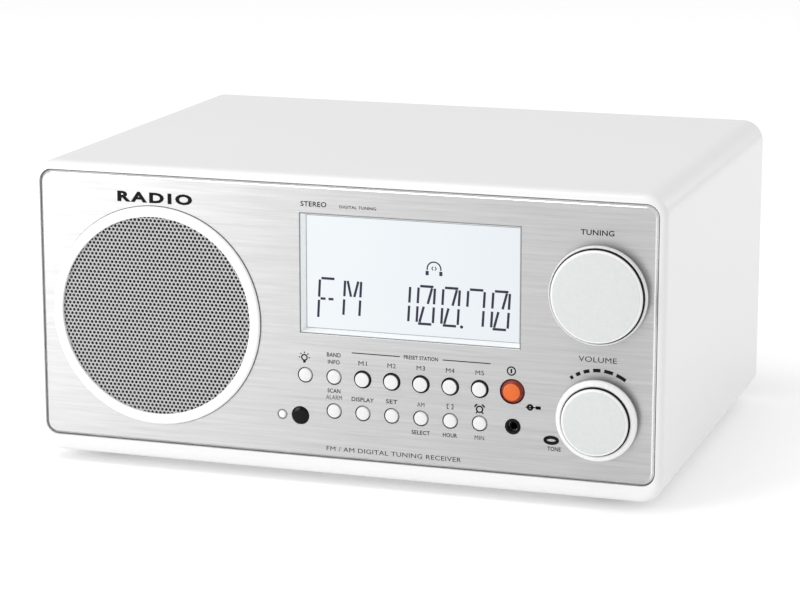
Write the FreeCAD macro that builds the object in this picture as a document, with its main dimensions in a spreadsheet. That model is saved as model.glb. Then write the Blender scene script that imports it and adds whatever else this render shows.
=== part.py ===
import FreeCAD, Part
import math
import os
import re
import Sketcher

# A tabletop radio: a lacquered wooden cabinet, an aluminium front panel with a speaker,
# a backlit display, fourteen push buttons and two knobs, and a rear cover with sockets.
# Millimetres. X runs to the right of someone facing the radio, Y from front to back, Z up.
# The origin is in the middle of the footprint, at the underside of the feet.
# Depths are counted backwards from the face of the front panel.

DIMENSIONS = {
    # overall
    "cabinet_width": 243.0,
    "cabinet_height": 112.5,
    "cabinet_depth": 175.5,
    "wall": 9.0,
    "corner_radius": 8.25,
    "lip_radius": 3.7,
    "knob_reach": 7.0,
    "rear_reach": 183.5,
    # feet
    "foot_height": 4.0,
    "foot_radius": 8.0,
    "foot_inset": 24.0,
    # front panel
    "panel_width": 237.0,
    "panel_height": 101.9,
    "panel_bottom": 11.0,
    "panel_thick": 2.5,
    "panel_radius": 4.6,
    "panel_chamfer": 1.0,
    "panel_gap": 0.4,
    "chassis_thick": 3.0,
    # speaker
    "speaker_x": -72.3,
    "speaker_z": 59.9,
    "ring_outer": 41.7,
    "ring_inner": 37.7,
    "ring_tube": 40.2,
    "ring_reach": 1.5,
    "grille_depth": 0.1,
    "grille_thick": 0.8,
    "cloth_thick": 0.6,
    "basket_radius": 39.6,
    "cone_radius": 29.2,
    "cone_neck": 9.8,
    "cone_front": 8.5,
    "cone_back": 23.0,
    "cone_skin": 0.6,
    "coil_radius": 9.2,
    "magnet_radius": 25.0,
    "magnet_front": 34.0,
    "magnet_back": 46.0,
    "plate_thick": 4.0,
    # display
    "window_left": -15.2,
    "window_right": 68.9,
    "window_bottom": 57.6,
    "window_top": 102.6,
    "window_slope": 1.5,
    "window_depth": 4.0,
    "glass_thick": 1.5,
    "guide_thick": 3.0,
    # buttons
    "button_pitch": 11.17,
    "upper_row_x": -13.25,
    "upper_row_z": 41.8,
    "lower_row_z": 28.9,
    "power_x": 66.0,
    "small_face": 2.4,
    "small_hole": 2.92,
    "small_reach": 0.6,
    "preset_face": 2.65,
    "preset_hole": 3.3,
    "preset_reach": 1.3,
    "power_face": 3.3,
    "power_hole": 4.6,
    "power_reach": 1.4,
    "button_travel": 0.6,
    "stem_radius": 1.2,
    "stem_bore": 1.25,
    "button_dome": 0.25,
    # knobs
    "knob_x": 98.0,
    "tuning_z": 80.1,
    "volume_z": 34.4,
    "tuning_radius": 18.1,
    "tuning_face": 16.8,
    "volume_radius": 15.1,
    "volume_face": 12.3,
    "knob_base": 1.2,
    "shaft_radius": 3.0,
    "shaft_bore": 3.05,
    "bush_radius": 4.5,
    "nut_radius": 6.0,
    "encoder_size": 14.0,
    # small pieces on the panel
    "jack_x": 66.3,
    "jack_z": 28.8,
    "jack_radius": 2.75,
    "jack_bore": 1.8,
    "jack_well": 11.5,
    "eye_x": -15.3,
    "eye_z": 26.2,
    "eye_radius": 3.3,
    "lamp_x": -22.4,
    "lamp_z": 26.1,
    "lamp_radius": 1.5,
    # boards
    "board_depth": 13.0,
    "board_thick": 1.6,
    "main_board_x": -20.0,
    "main_board_depth": 62.0,
    "main_board_z": 20.0,
    "main_board_length": 120.0,
    "main_board_width": 98.0,
    "standoff_radius": 3.0,
    "standoff_inset": 5.0,
    "tuner_length": 36.0,
    "tuner_width": 28.0,
    "tuner_height": 14.0,
    "capacitor_radius": 6.0,
    "capacitor_height": 22.0,
    "heat_sink_height": 24.0,
    "heat_sink_wall": 2.0,
    "fin_pitch": 6.0,
    "fin_reach": 12.0,
    # transformer and rod aerial
    "transformer_x": -98.0,
    "transformer_depth": 128.0,
    "core_length": 42.0,
    "core_width": 16.0,
    "core_height": 36.0,
    "winding_length": 28.0,
    "winding_reach": 9.0,
    "ferrite_x": -10.0,
    "ferrite_depth": 120.0,
    "ferrite_length": 100.0,
    "ferrite_radius": 4.95,
    "ferrite_drop": 12.0,
    "coil_length": 26.0,
    "clip_thick": 6.0,
    # rear
    "cover_rim": 4.0,
    "cover_depth": 170.5,
    "cover_thick": 3.0,
    "inlet_x": -78.0,
    "inlet_half_length": 10.8,
    "inlet_half_height": 6.8,
    "inlet_rim": 2.2,
    "inlet_well": 11.0,
    "pin_offset": 4.3,
    "pin_radius": 1.2,
    "socket_row_z": 38.0,
    "socket_first_x": -30.0,
    "socket_pitch": 20.0,
    "socket_radius": 4.0,
    "socket_well": 11.0,
    "aerial_x": 70.0,
    "aerial_z": 80.0,
    "aerial_radius": 4.75,
    "aerial_hex_radius": 6.55,
    "aerial_wire_radius": 1.0,
    "aerial_wire_depth": 8.0,
    "screw_radius": 1.5,
    "screw_head": 2.8,
    "head_thick": 1.6,
}

# the depth direction's zero is the panel face, and the footprint is centred on the origin
FRONT = "(knob_reach - rear_reach) / 2"
PANEL_X = "-panel_width / 2"
BACK_OF_CHASSIS = "panel_thick + chassis_thick"
INNER_FLOOR = "foot_height + wall"
REAR_FACE = "cover_depth + cover_thick"

SMALL_BUTTONS = {
    "light_button": ("upper_row_x", "upper_row_z"),
    "band_button": ("upper_row_x + button_pitch", "upper_row_z"),
    **{f"function_{n}_button": (f"upper_row_x + {n} * button_pitch", "lower_row_z") for n in range(1, 7)},
}
PRESET_BUTTONS = {
    f"preset_{n}_button": (f"upper_row_x + {n + 1} * button_pitch", "upper_row_z") for n in range(1, 6)
}
POWER_BUTTON = {"power_button": ("power_x", "upper_row_z")}
ALL_BUTTONS = {**SMALL_BUTTONS, **PRESET_BUTTONS, **POWER_BUTTON}

doc = FreeCAD.newDocument("tabletop_radio")
sheet = doc.addObject("Spreadsheet::Sheet", "Dims")
for row, (alias, value) in enumerate(DIMENSIONS.items(), start=1):
    sheet.set(f"A{row}", alias)
    sheet.set(f"B{row}", str(value))
    sheet.setAlias(f"B{row}", alias)
doc.recompute()

nodes = []


# ---------------------------------------------------------------- helpers

def link_word(word):
    """Point a dimension's name at its cell, and leave a function's name as it is."""
    name = word.group(0)
    return f"Dims.{name}" if name in DIMENSIONS else name


def linked(text):
    """Turn the dimension names in a formula into links to the sheet."""
    return re.sub(r"[a-z][a-z_]+[a-z0-9_]*", link_word, text)


def size(text):
    """The present value of a formula of dimension names."""
    return float(sheet.evalExpression(linked(text)))


def bind(thing, prop, text):
    thing.setExpression(prop, linked(text))


def place(thing, x="0", y="0", z="0"):
    """Bind an object's place; y is a depth behind the panel face."""
    bind(thing, "Placement.Base.x", x)
    bind(thing, "Placement.Base.y", f"{FRONT} + {y}")
    bind(thing, "Placement.Base.z", z)


def keep(thing, label=None):
    """Make a finished object one of the radio's sub-parts."""
    thing.Label = label or thing.Label
    nodes.append(thing)


def new_body(label):
    body = doc.addObject("PartDesign::Body", label)
    body.Label = label
    place(body)
    return body


def new_sketch(body, plane):
    """A sketch on one of the body's own origin planes."""
    sketch = body.newObject("Sketcher::SketchObject", f"{body.Name}_sketch")
    support = next(part for part in body.Origin.OriginFeatures if part.Role == plane)
    sketch.AttachmentSupport = [(support, "")]
    sketch.MapMode = "FlatFace"
    return sketch


def constrain(sketch, kind, *where, text):
    """A driving dimension whose value is a formula."""
    number = sketch.addConstraint(Sketcher.Constraint(kind, *where, size(text)))
    bind(sketch, f"Constraints[{number}]", text)


def draw_outline(sketch, points):
    """A closed outline of straight lines through points given as formulas."""
    first = sketch.GeometryCount
    spots = [FreeCAD.Vector(size(across), size(along), 0) for across, along in points]
    for number, spot in enumerate(spots):
        sketch.addGeometry(Part.LineSegment(spot, spots[(number + 1) % len(spots)]))
    for number, (across, along) in enumerate(points):
        line = first + number
        following = first + (number + 1) % len(points)
        sketch.addConstraint(Sketcher.Constraint("Coincident", line, 2, following, 1))
        constrain(sketch, "DistanceX", -1, 1, line, 1, text=across)
        constrain(sketch, "DistanceY", -1, 1, line, 1, text=along)


def draw_circle(sketch, across, along, radius):
    centre = FreeCAD.Vector(size(across), size(along), 0)
    circle = sketch.addGeometry(Part.Circle(centre, FreeCAD.Vector(0, 0, 1), size(radius)))
    constrain(sketch, "DistanceX", -1, 1, circle, 3, text=across)
    constrain(sketch, "DistanceY", -1, 1, circle, 3, text=along)
    constrain(sketch, "Radius", circle, text=radius)


def draw_rectangle(sketch, left, right, bottom, top):
    draw_outline(sketch, [(left, bottom), (right, bottom), (right, top), (left, top)])


def draw_rounded_rectangle(sketch, left, right, bottom, top, radius):
    """Four straight sides joined by quarter circles."""
    corners = [(left, bottom, 1, 1, 180), (right, bottom, -1, 1, 270),
               (right, top, -1, -1, 0), (left, top, 1, -1, 90)]
    arcs = []
    for across, along, inward_x, inward_z, start in corners:
        middle = FreeCAD.Vector(
            size(across) + inward_x * size(radius), size(along) + inward_z * size(radius), 0)
        ring = Part.Circle(middle, FreeCAD.Vector(0, 0, 1), size(radius))
        arcs.append(sketch.addGeometry(Part.ArcOfCircle(ring, math.radians(start), math.radians(start + 90))))
    for number, (across, along, inward_x, inward_z, start) in enumerate(corners):
        arc = arcs[number]
        following = arcs[(number + 1) % 4]
        side = sketch.addGeometry(Part.LineSegment(
            sketch.Geometry[arc].EndPoint, sketch.Geometry[following].StartPoint))
        sketch.addConstraint(Sketcher.Constraint("Coincident", arc, 2, side, 1))
        sketch.addConstraint(Sketcher.Constraint("Coincident", side, 2, following, 1))
        ends_flat = start in (180, 0)
        first_x, first_z = (across, f"{along} + {inward_z} * ({radius})")
        last_x, last_z = (f"{across} + {inward_x} * ({radius})", along)
        if not ends_flat:
            first_x, first_z, last_x, last_z = last_x, last_z, first_x, first_z
        constrain(sketch, "DistanceX", -1, 1, arc, 1, text=first_x)
        constrain(sketch, "DistanceY", -1, 1, arc, 1, text=first_z)
        constrain(sketch, "DistanceX", -1, 1, arc, 2, text=last_x)
        constrain(sketch, "DistanceY", -1, 1, arc, 2, text=last_z)
        constrain(sketch, "Radius", arc, text=radius)


def turned(label, outline, x, z):
    """A solid of revolution about a front-to-back axis; the outline is (radius, depth) pairs."""
    body = new_body(label)
    place(body, x, "0", z)
    sketch = new_sketch(body, "XY_Plane")
    draw_outline(sketch, outline)
    solid = body.newObject("PartDesign::Revolution", f"{label}_revolution")
    solid.Profile = sketch
    solid.ReferenceAxis = (sketch, ["V_Axis"])
    solid.Angle = 360
    return body


def slab(label, left, right, bottom, top, front, thick):
    """An upright plate; its outline faces the front."""
    body = new_body(label)
    place(body, "0", front)
    sketch = new_sketch(body, "XZ_Plane")
    draw_rectangle(sketch, left, right, bottom, top)
    pad = body.newObject("PartDesign::Pad", f"{label}_pad")
    pad.Profile = sketch
    pad.Reversed = True
    bind(pad, "Length", thick)
    doc.recompute()
    return body


def edges_where(shape, wanted):
    return [f"Edge{number}" for number, edge in enumerate(shape.Edges, start=1) if wanted(edge)]


def is_straight_along_depth(edge):
    span = edge.BoundBox
    return span.YLength > 0.5 and span.XLength < 1e-6 and span.ZLength < 1e-6


def lies_at_front(edge):
    return abs(edge.BoundBox.YMax) < 1e-6


def rounded(body, kind, radius, wanted):
    """Fillet or chamfer the edges of the body's last feature that pass a test."""
    names = edges_where(body.Tip.Shape, wanted)
    dressing = body.newObject(f"PartDesign::{kind}", f"{body.Name}_{kind.lower()}")
    dressing.Base = (body.Group[-2], names)
    bind(dressing, "Radius" if kind == "Fillet" else "Size", radius)
    doc.recompute()
    return dressing


def round_corners(body, radius):
    rounded(body, "Fillet", radius, is_straight_along_depth)


def cut(body, draw, depth=None, from_back=None):
    """Pocket a sketch into the body, right through or to a depth from the front or the back."""
    before = body.Shape.Volume
    sketch = new_sketch(body, "XZ_Plane")
    draw(sketch)
    pocket = body.newObject("PartDesign::Pocket", f"{body.Name}_pocket")
    pocket.Profile = sketch
    if from_back is not None:
        bind(sketch, "AttachmentOffset.Base.z", f"-({from_back})")
    if depth is None:
        pocket.Type = "ThroughAll"
    else:
        bind(pocket, "Length", depth)
    doc.recompute()
    if body.Shape.Volume > before - 0.5:
        raise RuntimeError(f"a pocket in {body.Label} removed nothing")
    return pocket


def box(name, x, y, z, length, depth, height):
    """A block by its low corner and its sizes along X, Y and Z."""
    block = doc.addObject("Part::Box", name)
    place(block, x, y, z)
    bind(block, "Length", length)
    bind(block, "Width", depth)
    bind(block, "Height", height)
    return block


def rod(name, x, y, z, radius, length, axis="y"):
    """A cylinder from its start point, along X, Y or Z."""
    cylinder = doc.addObject("Part::Cylinder", name)
    turns = {
        "x": FreeCAD.Rotation(FreeCAD.Vector(0, 1, 0), 90),
        "y": FreeCAD.Rotation(FreeCAD.Vector(1, 0, 0), -90),
        "z": FreeCAD.Rotation(),
    }
    cylinder.Placement = FreeCAD.Placement(FreeCAD.Vector(), turns[axis])
    place(cylinder, x, y, z)
    bind(cylinder, "Radius", radius)
    bind(cylinder, "Height", length)
    return cylinder


def group(label, pieces):
    """Separate solids of one kind in one node."""
    compound = doc.addObject("Part::Compound", label)
    compound.Links = pieces
    keep(compound, label)


def joined(name, pieces):
    fuse = doc.addObject("Part::MultiFuse", name)
    fuse.Shapes = pieces
    return fuse


def less(name, base, tool):
    difference = doc.addObject("Part::Cut", name)
    difference.Base = base
    difference.Tool = tool
    return difference


# ---------------------------------------------------------------- cabinet and panel

def make_cabinet():
    body = slab("cabinet", "-cabinet_width / 2", "cabinet_width / 2", "foot_height",
                "foot_height + cabinet_height", "0", "cabinet_depth")
    round_corners(body, "corner_radius")
    rounded(body, "Fillet", "lip_radius", lies_at_front)
    cut(body, lambda sketch: draw_rectangle(
        sketch, "wall - cabinet_width / 2", "cabinet_width / 2 - wall",
        "foot_height + wall", "foot_height + cabinet_height - wall"))
    cut(body, lambda sketch: draw_rounded_rectangle(
        sketch, f"{PANEL_X} - panel_gap", "panel_width / 2 + panel_gap", "panel_bottom - panel_gap",
        "panel_bottom + panel_height + panel_gap", "panel_radius + panel_gap"), depth=BACK_OF_CHASSIS)
    cut(body, lambda sketch: draw_rounded_rectangle(
        sketch, "cover_rim - cabinet_width / 2", "cabinet_width / 2 - cover_rim", "foot_height + cover_rim",
        "foot_height + cabinet_height - cover_rim", "panel_radius"),
        depth="cabinet_depth - cover_depth", from_back="cover_depth")
    keep(body)


def make_front_panel():
    body = slab("front_panel", PANEL_X, "panel_width / 2", "panel_bottom",
                "panel_bottom + panel_height", "0", "panel_thick")
    round_corners(body, "panel_radius")
    rounded(body, "Chamfer", "panel_chamfer", lies_at_front)
    cut(body, lambda sketch: draw_circle(sketch, "speaker_x", "speaker_z", "ring_tube + 0.3"))
    cut(body, lambda sketch: draw_rectangle(
        sketch, "window_left", "window_right", "window_bottom", "window_top"))
    for spots, hole in ((SMALL_BUTTONS, "small_hole"), (PRESET_BUTTONS, "preset_hole"),
                        (POWER_BUTTON, "power_hole")):
        cut(body, lambda sketch: [draw_circle(sketch, x, z, hole) for x, z in spots.values()])
    cut(body, lambda sketch: [draw_circle(sketch, "knob_x", z, "nut_radius + 1.5")
                              for z in ("tuning_z", "volume_z")])
    cut(body, draw_small_openings)
    keep(body)


def draw_small_openings(sketch):
    draw_circle(sketch, "jack_x", "jack_z", "jack_radius + 0.1")
    draw_circle(sketch, "eye_x", "eye_z", "eye_radius + 0.1")
    draw_circle(sketch, "lamp_x", "lamp_z", "lamp_radius + 0.1")


def make_front_chassis():
    """The moulded plate behind the panel that carries the speaker, the display and the controls."""
    body = slab("front_chassis", PANEL_X, "panel_width / 2", "panel_bottom",
                "panel_bottom + panel_height", "panel_thick", "chassis_thick")
    round_corners(body, "panel_radius")
    cut(body, lambda sketch: draw_circle(sketch, "speaker_x", "speaker_z", "ring_inner - 0.7"))
    cut(body, lambda sketch: draw_rectangle(
        sketch, "window_left", "window_right", "window_bottom", "window_top"))
    for spots, hole in ((SMALL_BUTTONS, "small_hole"), (PRESET_BUTTONS, "preset_hole"),
                        (POWER_BUTTON, "power_hole")):
        cut(body, lambda sketch: [draw_circle(sketch, x, z, hole) for x, z in spots.values()])
    cut(body, lambda sketch: [draw_circle(sketch, "knob_x", z, "bush_radius + 0.1")
                              for z in ("tuning_z", "volume_z")])
    cut(body, draw_small_openings)
    keep(body)


# ---------------------------------------------------------------- speaker

def speaker_piece(label, outline):
    keep(turned(label, outline, "speaker_x", "speaker_z"))


def make_grille():
    seat = "ring_inner + 0.9"
    speaker_piece("grille_ring", [
        ("ring_inner + 0.4", "-ring_reach"), ("ring_outer - 0.7", "-ring_reach"),
        ("ring_outer", "0.7 - ring_reach"), ("ring_outer", "-0.05"), ("ring_tube", "-0.05"),
        ("ring_tube", "panel_thick"), (seat, "panel_thick"), (seat, "grille_depth"),
        ("ring_inner", "grille_depth"), ("ring_inner", "0.4 - ring_reach")])
    mesh_back = "grille_depth + grille_thick"
    speaker_piece("speaker_grille", [
        ("0", "grille_depth"), (f"{seat} - 0.1", "grille_depth"), (f"{seat} - 0.1", mesh_back),
        ("0", mesh_back)])
    speaker_piece("grille_cloth", [
        ("0", f"{mesh_back} + 0.05"), (f"{seat} - 0.1", f"{mesh_back} + 0.05"),
        (f"{seat} - 0.1", f"{mesh_back} + cloth_thick"), ("0", f"{mesh_back} + cloth_thick")])


def make_speaker_steel():
    """The magnet's two steel pieces: a washer in front, and a back plate with its pole."""
    front = "magnet_front - plate_thick"
    top_plate = turned("speaker_top_plate", [
        ("coil_radius + 1.1", front), ("magnet_radius - 3", front), ("magnet_radius - 3", "magnet_front"),
        ("coil_radius + 1.1", "magnet_front")], "speaker_x", "speaker_z")
    yoke = turned("speaker_back_plate", [
        ("0", front), ("coil_radius - 0.9", front), ("coil_radius - 0.9", "magnet_back"),
        ("magnet_radius - 3", "magnet_back"), ("magnet_radius - 3", "magnet_back + plate_thick"),
        ("0", "magnet_back + plate_thick")],
        "speaker_x", "speaker_z")
    group("speaker_yoke", [top_plate, yoke])


def make_speaker_frame():
    back = BACK_OF_CHASSIS
    speaker_piece("speaker_gasket", [
        ("basket_radius - 4", back), ("basket_radius", back), ("basket_radius", f"{back} + 1"),
        ("basket_radius - 4", f"{back} + 1")])
    flange = f"{back} + 1"
    floor = "magnet_front - plate_thick"
    speaker_piece("speaker_basket", [
        ("basket_radius - 5", flange), ("basket_radius", flange), ("basket_radius", f"{flange} + 1.5"),
        ("basket_radius - 5", f"{flange} + 1.5"), ("basket_radius - 8", f"{flange} + 4"),
        ("basket_radius - 12", f"{floor} - 7"), ("magnet_radius - 2", floor), ("coil_radius + 4", floor),
        ("coil_radius + 4", f"{floor} - 1.2"), ("magnet_radius - 2.5", f"{floor} - 1.2"),
        ("basket_radius - 13.2", f"{floor} - 7.8"), ("basket_radius - 9.2", f"{flange} + 4"),
        ("basket_radius - 6.2", f"{flange} + 1.5")])
    speaker_piece("speaker_magnet", [
        ("coil_radius + 3", "magnet_front"), ("magnet_radius", "magnet_front"),
        ("magnet_radius", "magnet_back"), ("coil_radius + 3", "magnet_back")])


def make_speaker_cone():
    speaker_piece("speaker_cone", [
        ("cone_neck", "cone_back"), ("cone_neck + 10", "cone_back - 4.5"), ("cone_radius", "cone_front"),
        ("cone_radius", "cone_front + cone_skin"), ("cone_neck + 10", "cone_back - 4.5 + cone_skin"),
        ("cone_neck", "cone_back + cone_skin")])
    speaker_piece("dust_cap", [
        ("0", "cone_back - 7"), ("6", "cone_back - 6"), ("cone_neck - 0.05", "cone_back - 2"),
        ("cone_neck - 0.05", "cone_back - 1.5"), ("6", "cone_back - 5.4"), ("0", "cone_back - 6.4")])
    speaker_piece("voice_coil", [
        ("coil_radius", "cone_back - 1.4"), ("coil_radius + 0.55", "cone_back - 1.4"),
        ("coil_radius + 0.55", "magnet_front + 1"), ("coil_radius", "magnet_front + 1")])


def make_speaker_suspension():
    """The half-roll surround at the cone's rim and the corrugated spider behind its neck."""
    rim = "cone_radius + 0.05"
    outer = "basket_radius - 6.1"
    crest = f"({rim} + {outer}) / 2"
    surround = turned("cone_surround", [
        (rim, "cone_front"), (f"{rim} + 0.6", "cone_front - 1.6"), (crest, "cone_front - 2.6"),
        (f"{outer} - 0.9", "cone_front - 1.6"), (outer, "cone_front - 1.3"), (outer, "cone_front - 0.7"),
        (f"{outer} - 1.2", "cone_front - 0.9"), (crest, "cone_front - 2"),
        (f"{rim} + 1.1", "cone_front - 1.1"), (rim, "cone_front + 0.6")], "speaker_x", "speaker_z")
    inner = "coil_radius + 0.6"
    depth = "magnet_front - plate_thick - 3.2"
    spider = turned("cone_spider", [
        (inner, depth), (f"{inner} + 2.5", f"{depth} - 0.8"), (f"{inner} + 5", f"{depth} + 0.8"),
        (f"{inner} + 7.5", f"{depth} - 0.8"), (f"{inner} + 10.5", f"{depth} + 0.6"),
        (f"{inner} + 11.2", f"{depth} + 1.9"), (f"{inner} + 10.6", f"{depth} + 1.9"),
        (f"{inner} + 10", f"{depth} + 1"), (f"{inner} + 7.5", f"{depth} - 0.4"),
        (f"{inner} + 5", f"{depth} + 1.2"), (f"{inner} + 2.5", f"{depth} - 0.4"), (inner, f"{depth} + 0.4")],
        "speaker_x", "speaker_z")
    group("speaker_suspension", [surround, spider])


def speaker_screws():
    """Four screws beside the basket's flange, whose heads clamp it to the chassis."""
    reach = "(basket_radius + 2.4) * 0.7071"
    screws = []
    for number, (side, level) in enumerate([(-1, -1), (-1, 1), (1, -1), (1, 1)]):
        x = f"speaker_x + {side} * {reach}"
        z = f"speaker_z + {level} * {reach}"
        shank = rod(f"speaker_screw_shank_{number}", x, BACK_OF_CHASSIS, z, "screw_radius", "2.5")
        head = rod(f"speaker_screw_head_{number}", x, f"{BACK_OF_CHASSIS} + 2.5", z, "screw_head",
                   "head_thick")
        screws.append(joined(f"speaker_screw_{number}", [shank, head]))
    return screws


# ---------------------------------------------------------------- display

def make_display():
    body = slab("lcd_bezel", "window_left + 0.1", "window_right - 0.1", "window_bottom + 0.1",
                "window_top - 0.1", "0.2", "window_depth - 0.2")
    before = body.Shape.Volume
    sketch = new_sketch(body, "XZ_Plane")
    draw_rectangle(sketch, "window_left + 0.5", "window_right - 0.5", "window_bottom + 0.5",
                   "window_top - 0.5")
    pocket = body.newObject("PartDesign::Pocket", "lcd_bezel_taper")
    pocket.Profile = sketch
    bind(pocket, "Length", "window_depth - 0.2")
    bind(pocket, "TaperAngle", "-atan((window_slope - 0.5) / (window_depth - 0.2))")
    doc.recompute()
    if body.Shape.Volume > before * 0.5:
        raise RuntimeError("the display bezel is not open")
    keep(body)
    keep(slab("lcd_glass", "window_left + 0.2", "window_right - 0.2", "window_bottom + 0.2",
              "window_top - 0.2", "window_depth", "glass_thick"))
    keep(slab("lcd_light_guide", "window_left - 2", "window_right + 2", "window_bottom - 2",
              "window_top + 2", BACK_OF_CHASSIS, "guide_thick"))


# ---------------------------------------------------------------- controls

def make_button(label, x, z, face, base, reach):
    """A cap with a retaining flange behind the chassis and a stem that enters its switch."""
    flange = f"{BACK_OF_CHASSIS} + button_travel * 0.5"
    keep(turned(label, [
        ("0", f"-{reach}"), (f"{face} * 0.6", f"button_dome * 0.3 - {reach}"),
        (f"{face} * 0.9", f"button_dome - {reach}"), (face, f"button_dome + 0.3 - {reach}"), (base, "0.4"),
        (base, flange), (f"{base} + 0.9", flange), (f"{base} + 0.9", f"{flange} + 0.8"),
        ("stem_radius", f"{flange} + 0.8"), ("stem_radius", "board_depth - 2.6"), ("0", "board_depth - 2.6"),
    ], x, z))


def make_buttons():
    for label, (x, z) in SMALL_BUTTONS.items():
        make_button(label, x, z, "small_face", "small_face + 0.2", "small_reach")
    for label, (x, z) in PRESET_BUTTONS.items():
        make_button(label, x, z, "preset_face", "preset_face + 0.2", "preset_reach")
    for label, (x, z) in POWER_BUTTON.items():
        make_button(label, x, z, "power_face", "power_hole - 0.3", "power_reach")


def make_switches():
    """One push switch behind each button, standing on the control board."""
    pieces = []
    for label, (x, z) in ALL_BUTTONS.items():
        case = box(f"{label}_case", f"{x} - 3", "board_depth - 3.5", f"{z} - 3", "6", "3.5", "6")
        well = rod(f"{label}_well", x, "board_depth - 4", z, "stem_bore", "2.4")
        pieces.append(less(f"{label}_switch", case, well))
    group("push_switches", pieces)


def make_knob(label, z, radius, face):
    """A flared skirt with a raised cap, parted by a groove, and a blind bore for the shaft."""
    bore = "shaft_radius + 0.02"
    keep(turned(label, [
        (f"{radius} - 1.2", "-knob_base"), (f"{radius} - 0.25", "-knob_base - 0.9"), (radius, "-3"),
        (f"({radius} + {face}) / 2 + 0.35", "-4.4"), (f"{face} + 0.7", "-4.9"), (f"{face} + 0.45", "-4.7"),
        (f"{face} + 0.45", "-3.9"), (face, "-3.9"), (face, "0.9 - knob_reach"),
        (f"{face} - 0.25", "0.6 - knob_reach"), (f"{face} - 0.8", "0.4 - knob_reach"),
        (f"{face} * 0.6", "0.15 - knob_reach"), ("0", "-knob_reach"), ("0", "1.6 - knob_reach"),
        (bore, "1.6 - knob_reach"), (bore, "-knob_base"),
    ], "knob_x", z))


def encoder_blank(label, z):
    """The case of a control behind a knob, on the board, with the threaded bush for its shaft."""
    front = "board_depth - 6.4"
    case = box(f"{label}_case", "knob_x - encoder_size / 2", front, f"{z} - encoder_size / 2",
               "encoder_size", "6.4", "encoder_size")
    bush = rod(f"{label}_bush", "knob_x", "-0.3", z, "bush_radius", f"{front} + 1")
    bore = rod(f"{label}_bore", "knob_x", "-1", z, "shaft_bore", "board_depth - 0.2")
    return less(f"{label}_bored", joined(f"{label}_solid", [case, bush]), bore)


def make_encoders():
    """The volume shaft slides through a rotor, so that control has room for one in its case."""
    tuning = encoder_blank("tuning_encoder", "tuning_z")
    room = rod("volume_room", "knob_x", "board_depth - 5.5", "volume_z", "shaft_bore + 2.6", "2.6")
    volume = less("volume_encoder_hollow", encoder_blank("volume_encoder", "volume_z"), room)
    group("encoders", [tuning, volume])
    keep(turned("volume_rotor", [
        ("shaft_bore", "board_depth - 5.4"), ("shaft_bore + 2.5", "board_depth - 5.4"),
        ("shaft_bore + 2.5", "board_depth - 3"), ("shaft_bore", "board_depth - 3")], "knob_x", "volume_z"))


def make_shaft(label, z):
    keep(turned(label, [
        ("0", "1.6 - knob_reach"), ("shaft_radius", "1.6 - knob_reach"), ("shaft_radius", "board_depth - 2"),
        ("0", "board_depth - 2")], "knob_x", z))


def hexagon(name, x, y, z, radius, thick):
    """A hexagonal block about a front-to-back axis."""
    block = doc.addObject("Part::Prism", name)
    block.Polygon = 6
    block.Placement = FreeCAD.Placement(FreeCAD.Vector(), FreeCAD.Rotation(FreeCAD.Vector(1, 0, 0), -90))
    place(block, x, y, z)
    bind(block, "Circumradius", radius)
    bind(block, "Height", thick)
    return block


def hexagon_nut(name, x, y, z, radius, thick, bore):
    blank = hexagon(f"{name}_blank", x, y, z, radius, thick)
    hole = rod(f"{name}_bore", x, f"{y} - 1", z, bore, f"{thick} + 2")
    return less(name, blank, hole)


def make_nuts():
    """The nuts that hold the two controls and the aerial socket."""
    nuts = [hexagon_nut(f"{name}_nut", "knob_x", "0.4", z, "nut_radius", "panel_thick - 0.4",
                        "bush_radius + 0.05")
            for name, z in (("tuning", "tuning_z"), ("volume", "volume_z"))]
    nuts.append(hexagon_nut("aerial_nut", "aerial_x", "cover_depth - 2", "aerial_z", "aerial_hex_radius",
                            "2", "aerial_radius - 0.35"))
    group("nuts", nuts)


def make_front_fittings():
    keep(turned("headphone_jack", [
        ("jack_bore", "-0.5"), ("jack_radius - 0.3", "-0.5"), ("jack_radius", "-0.2"),
        ("jack_radius", BACK_OF_CHASSIS), ("jack_radius + 1.75", BACK_OF_CHASSIS),
        ("jack_radius + 1.75", "board_depth"), ("0", "board_depth"), ("0", "jack_well"),
        ("jack_bore", "jack_well")], "jack_x", "jack_z"))
    keep(turned("remote_eye", [
        ("0", "-0.5"), ("eye_radius * 0.6", "-0.4"), ("eye_radius", "0"), ("eye_radius", "board_depth"),
        ("0", "board_depth")], "eye_x", "eye_z"))
    keep(turned("indicator_lamp", [
        ("0", "-0.6"), ("lamp_radius * 0.6", "-0.5"), ("lamp_radius * 0.9", "-0.25"), ("lamp_radius", "0.1"),
        ("lamp_radius", "board_depth"), ("0", "board_depth")], "lamp_x", "lamp_z"))


# ---------------------------------------------------------------- inside

def make_boards():
    keep(slab("control_board", "lamp_x - 5", "knob_x + 12", "lamp_z - 6", "window_top", "board_depth",
              "board_thick"))
    keep(box("main_board", "main_board_x", "main_board_depth", "main_board_z", "main_board_length",
             "main_board_width", "board_thick"), "main_board")
    near = "main_board_x + standoff_inset"
    far = "main_board_x + main_board_length - standoff_inset"
    front = "main_board_depth + standoff_inset"
    back = "main_board_depth + main_board_width - standoff_inset"
    corners = [(x, y) for x in (near, far) for y in (front, back)]
    standoffs = [rod(f"standoff_{number}", x, y, INNER_FLOOR, "standoff_radius",
                     f"main_board_z - ({INNER_FLOOR})", "z") for number, (x, y) in enumerate(corners)]
    group("board_standoffs", standoffs)


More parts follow.
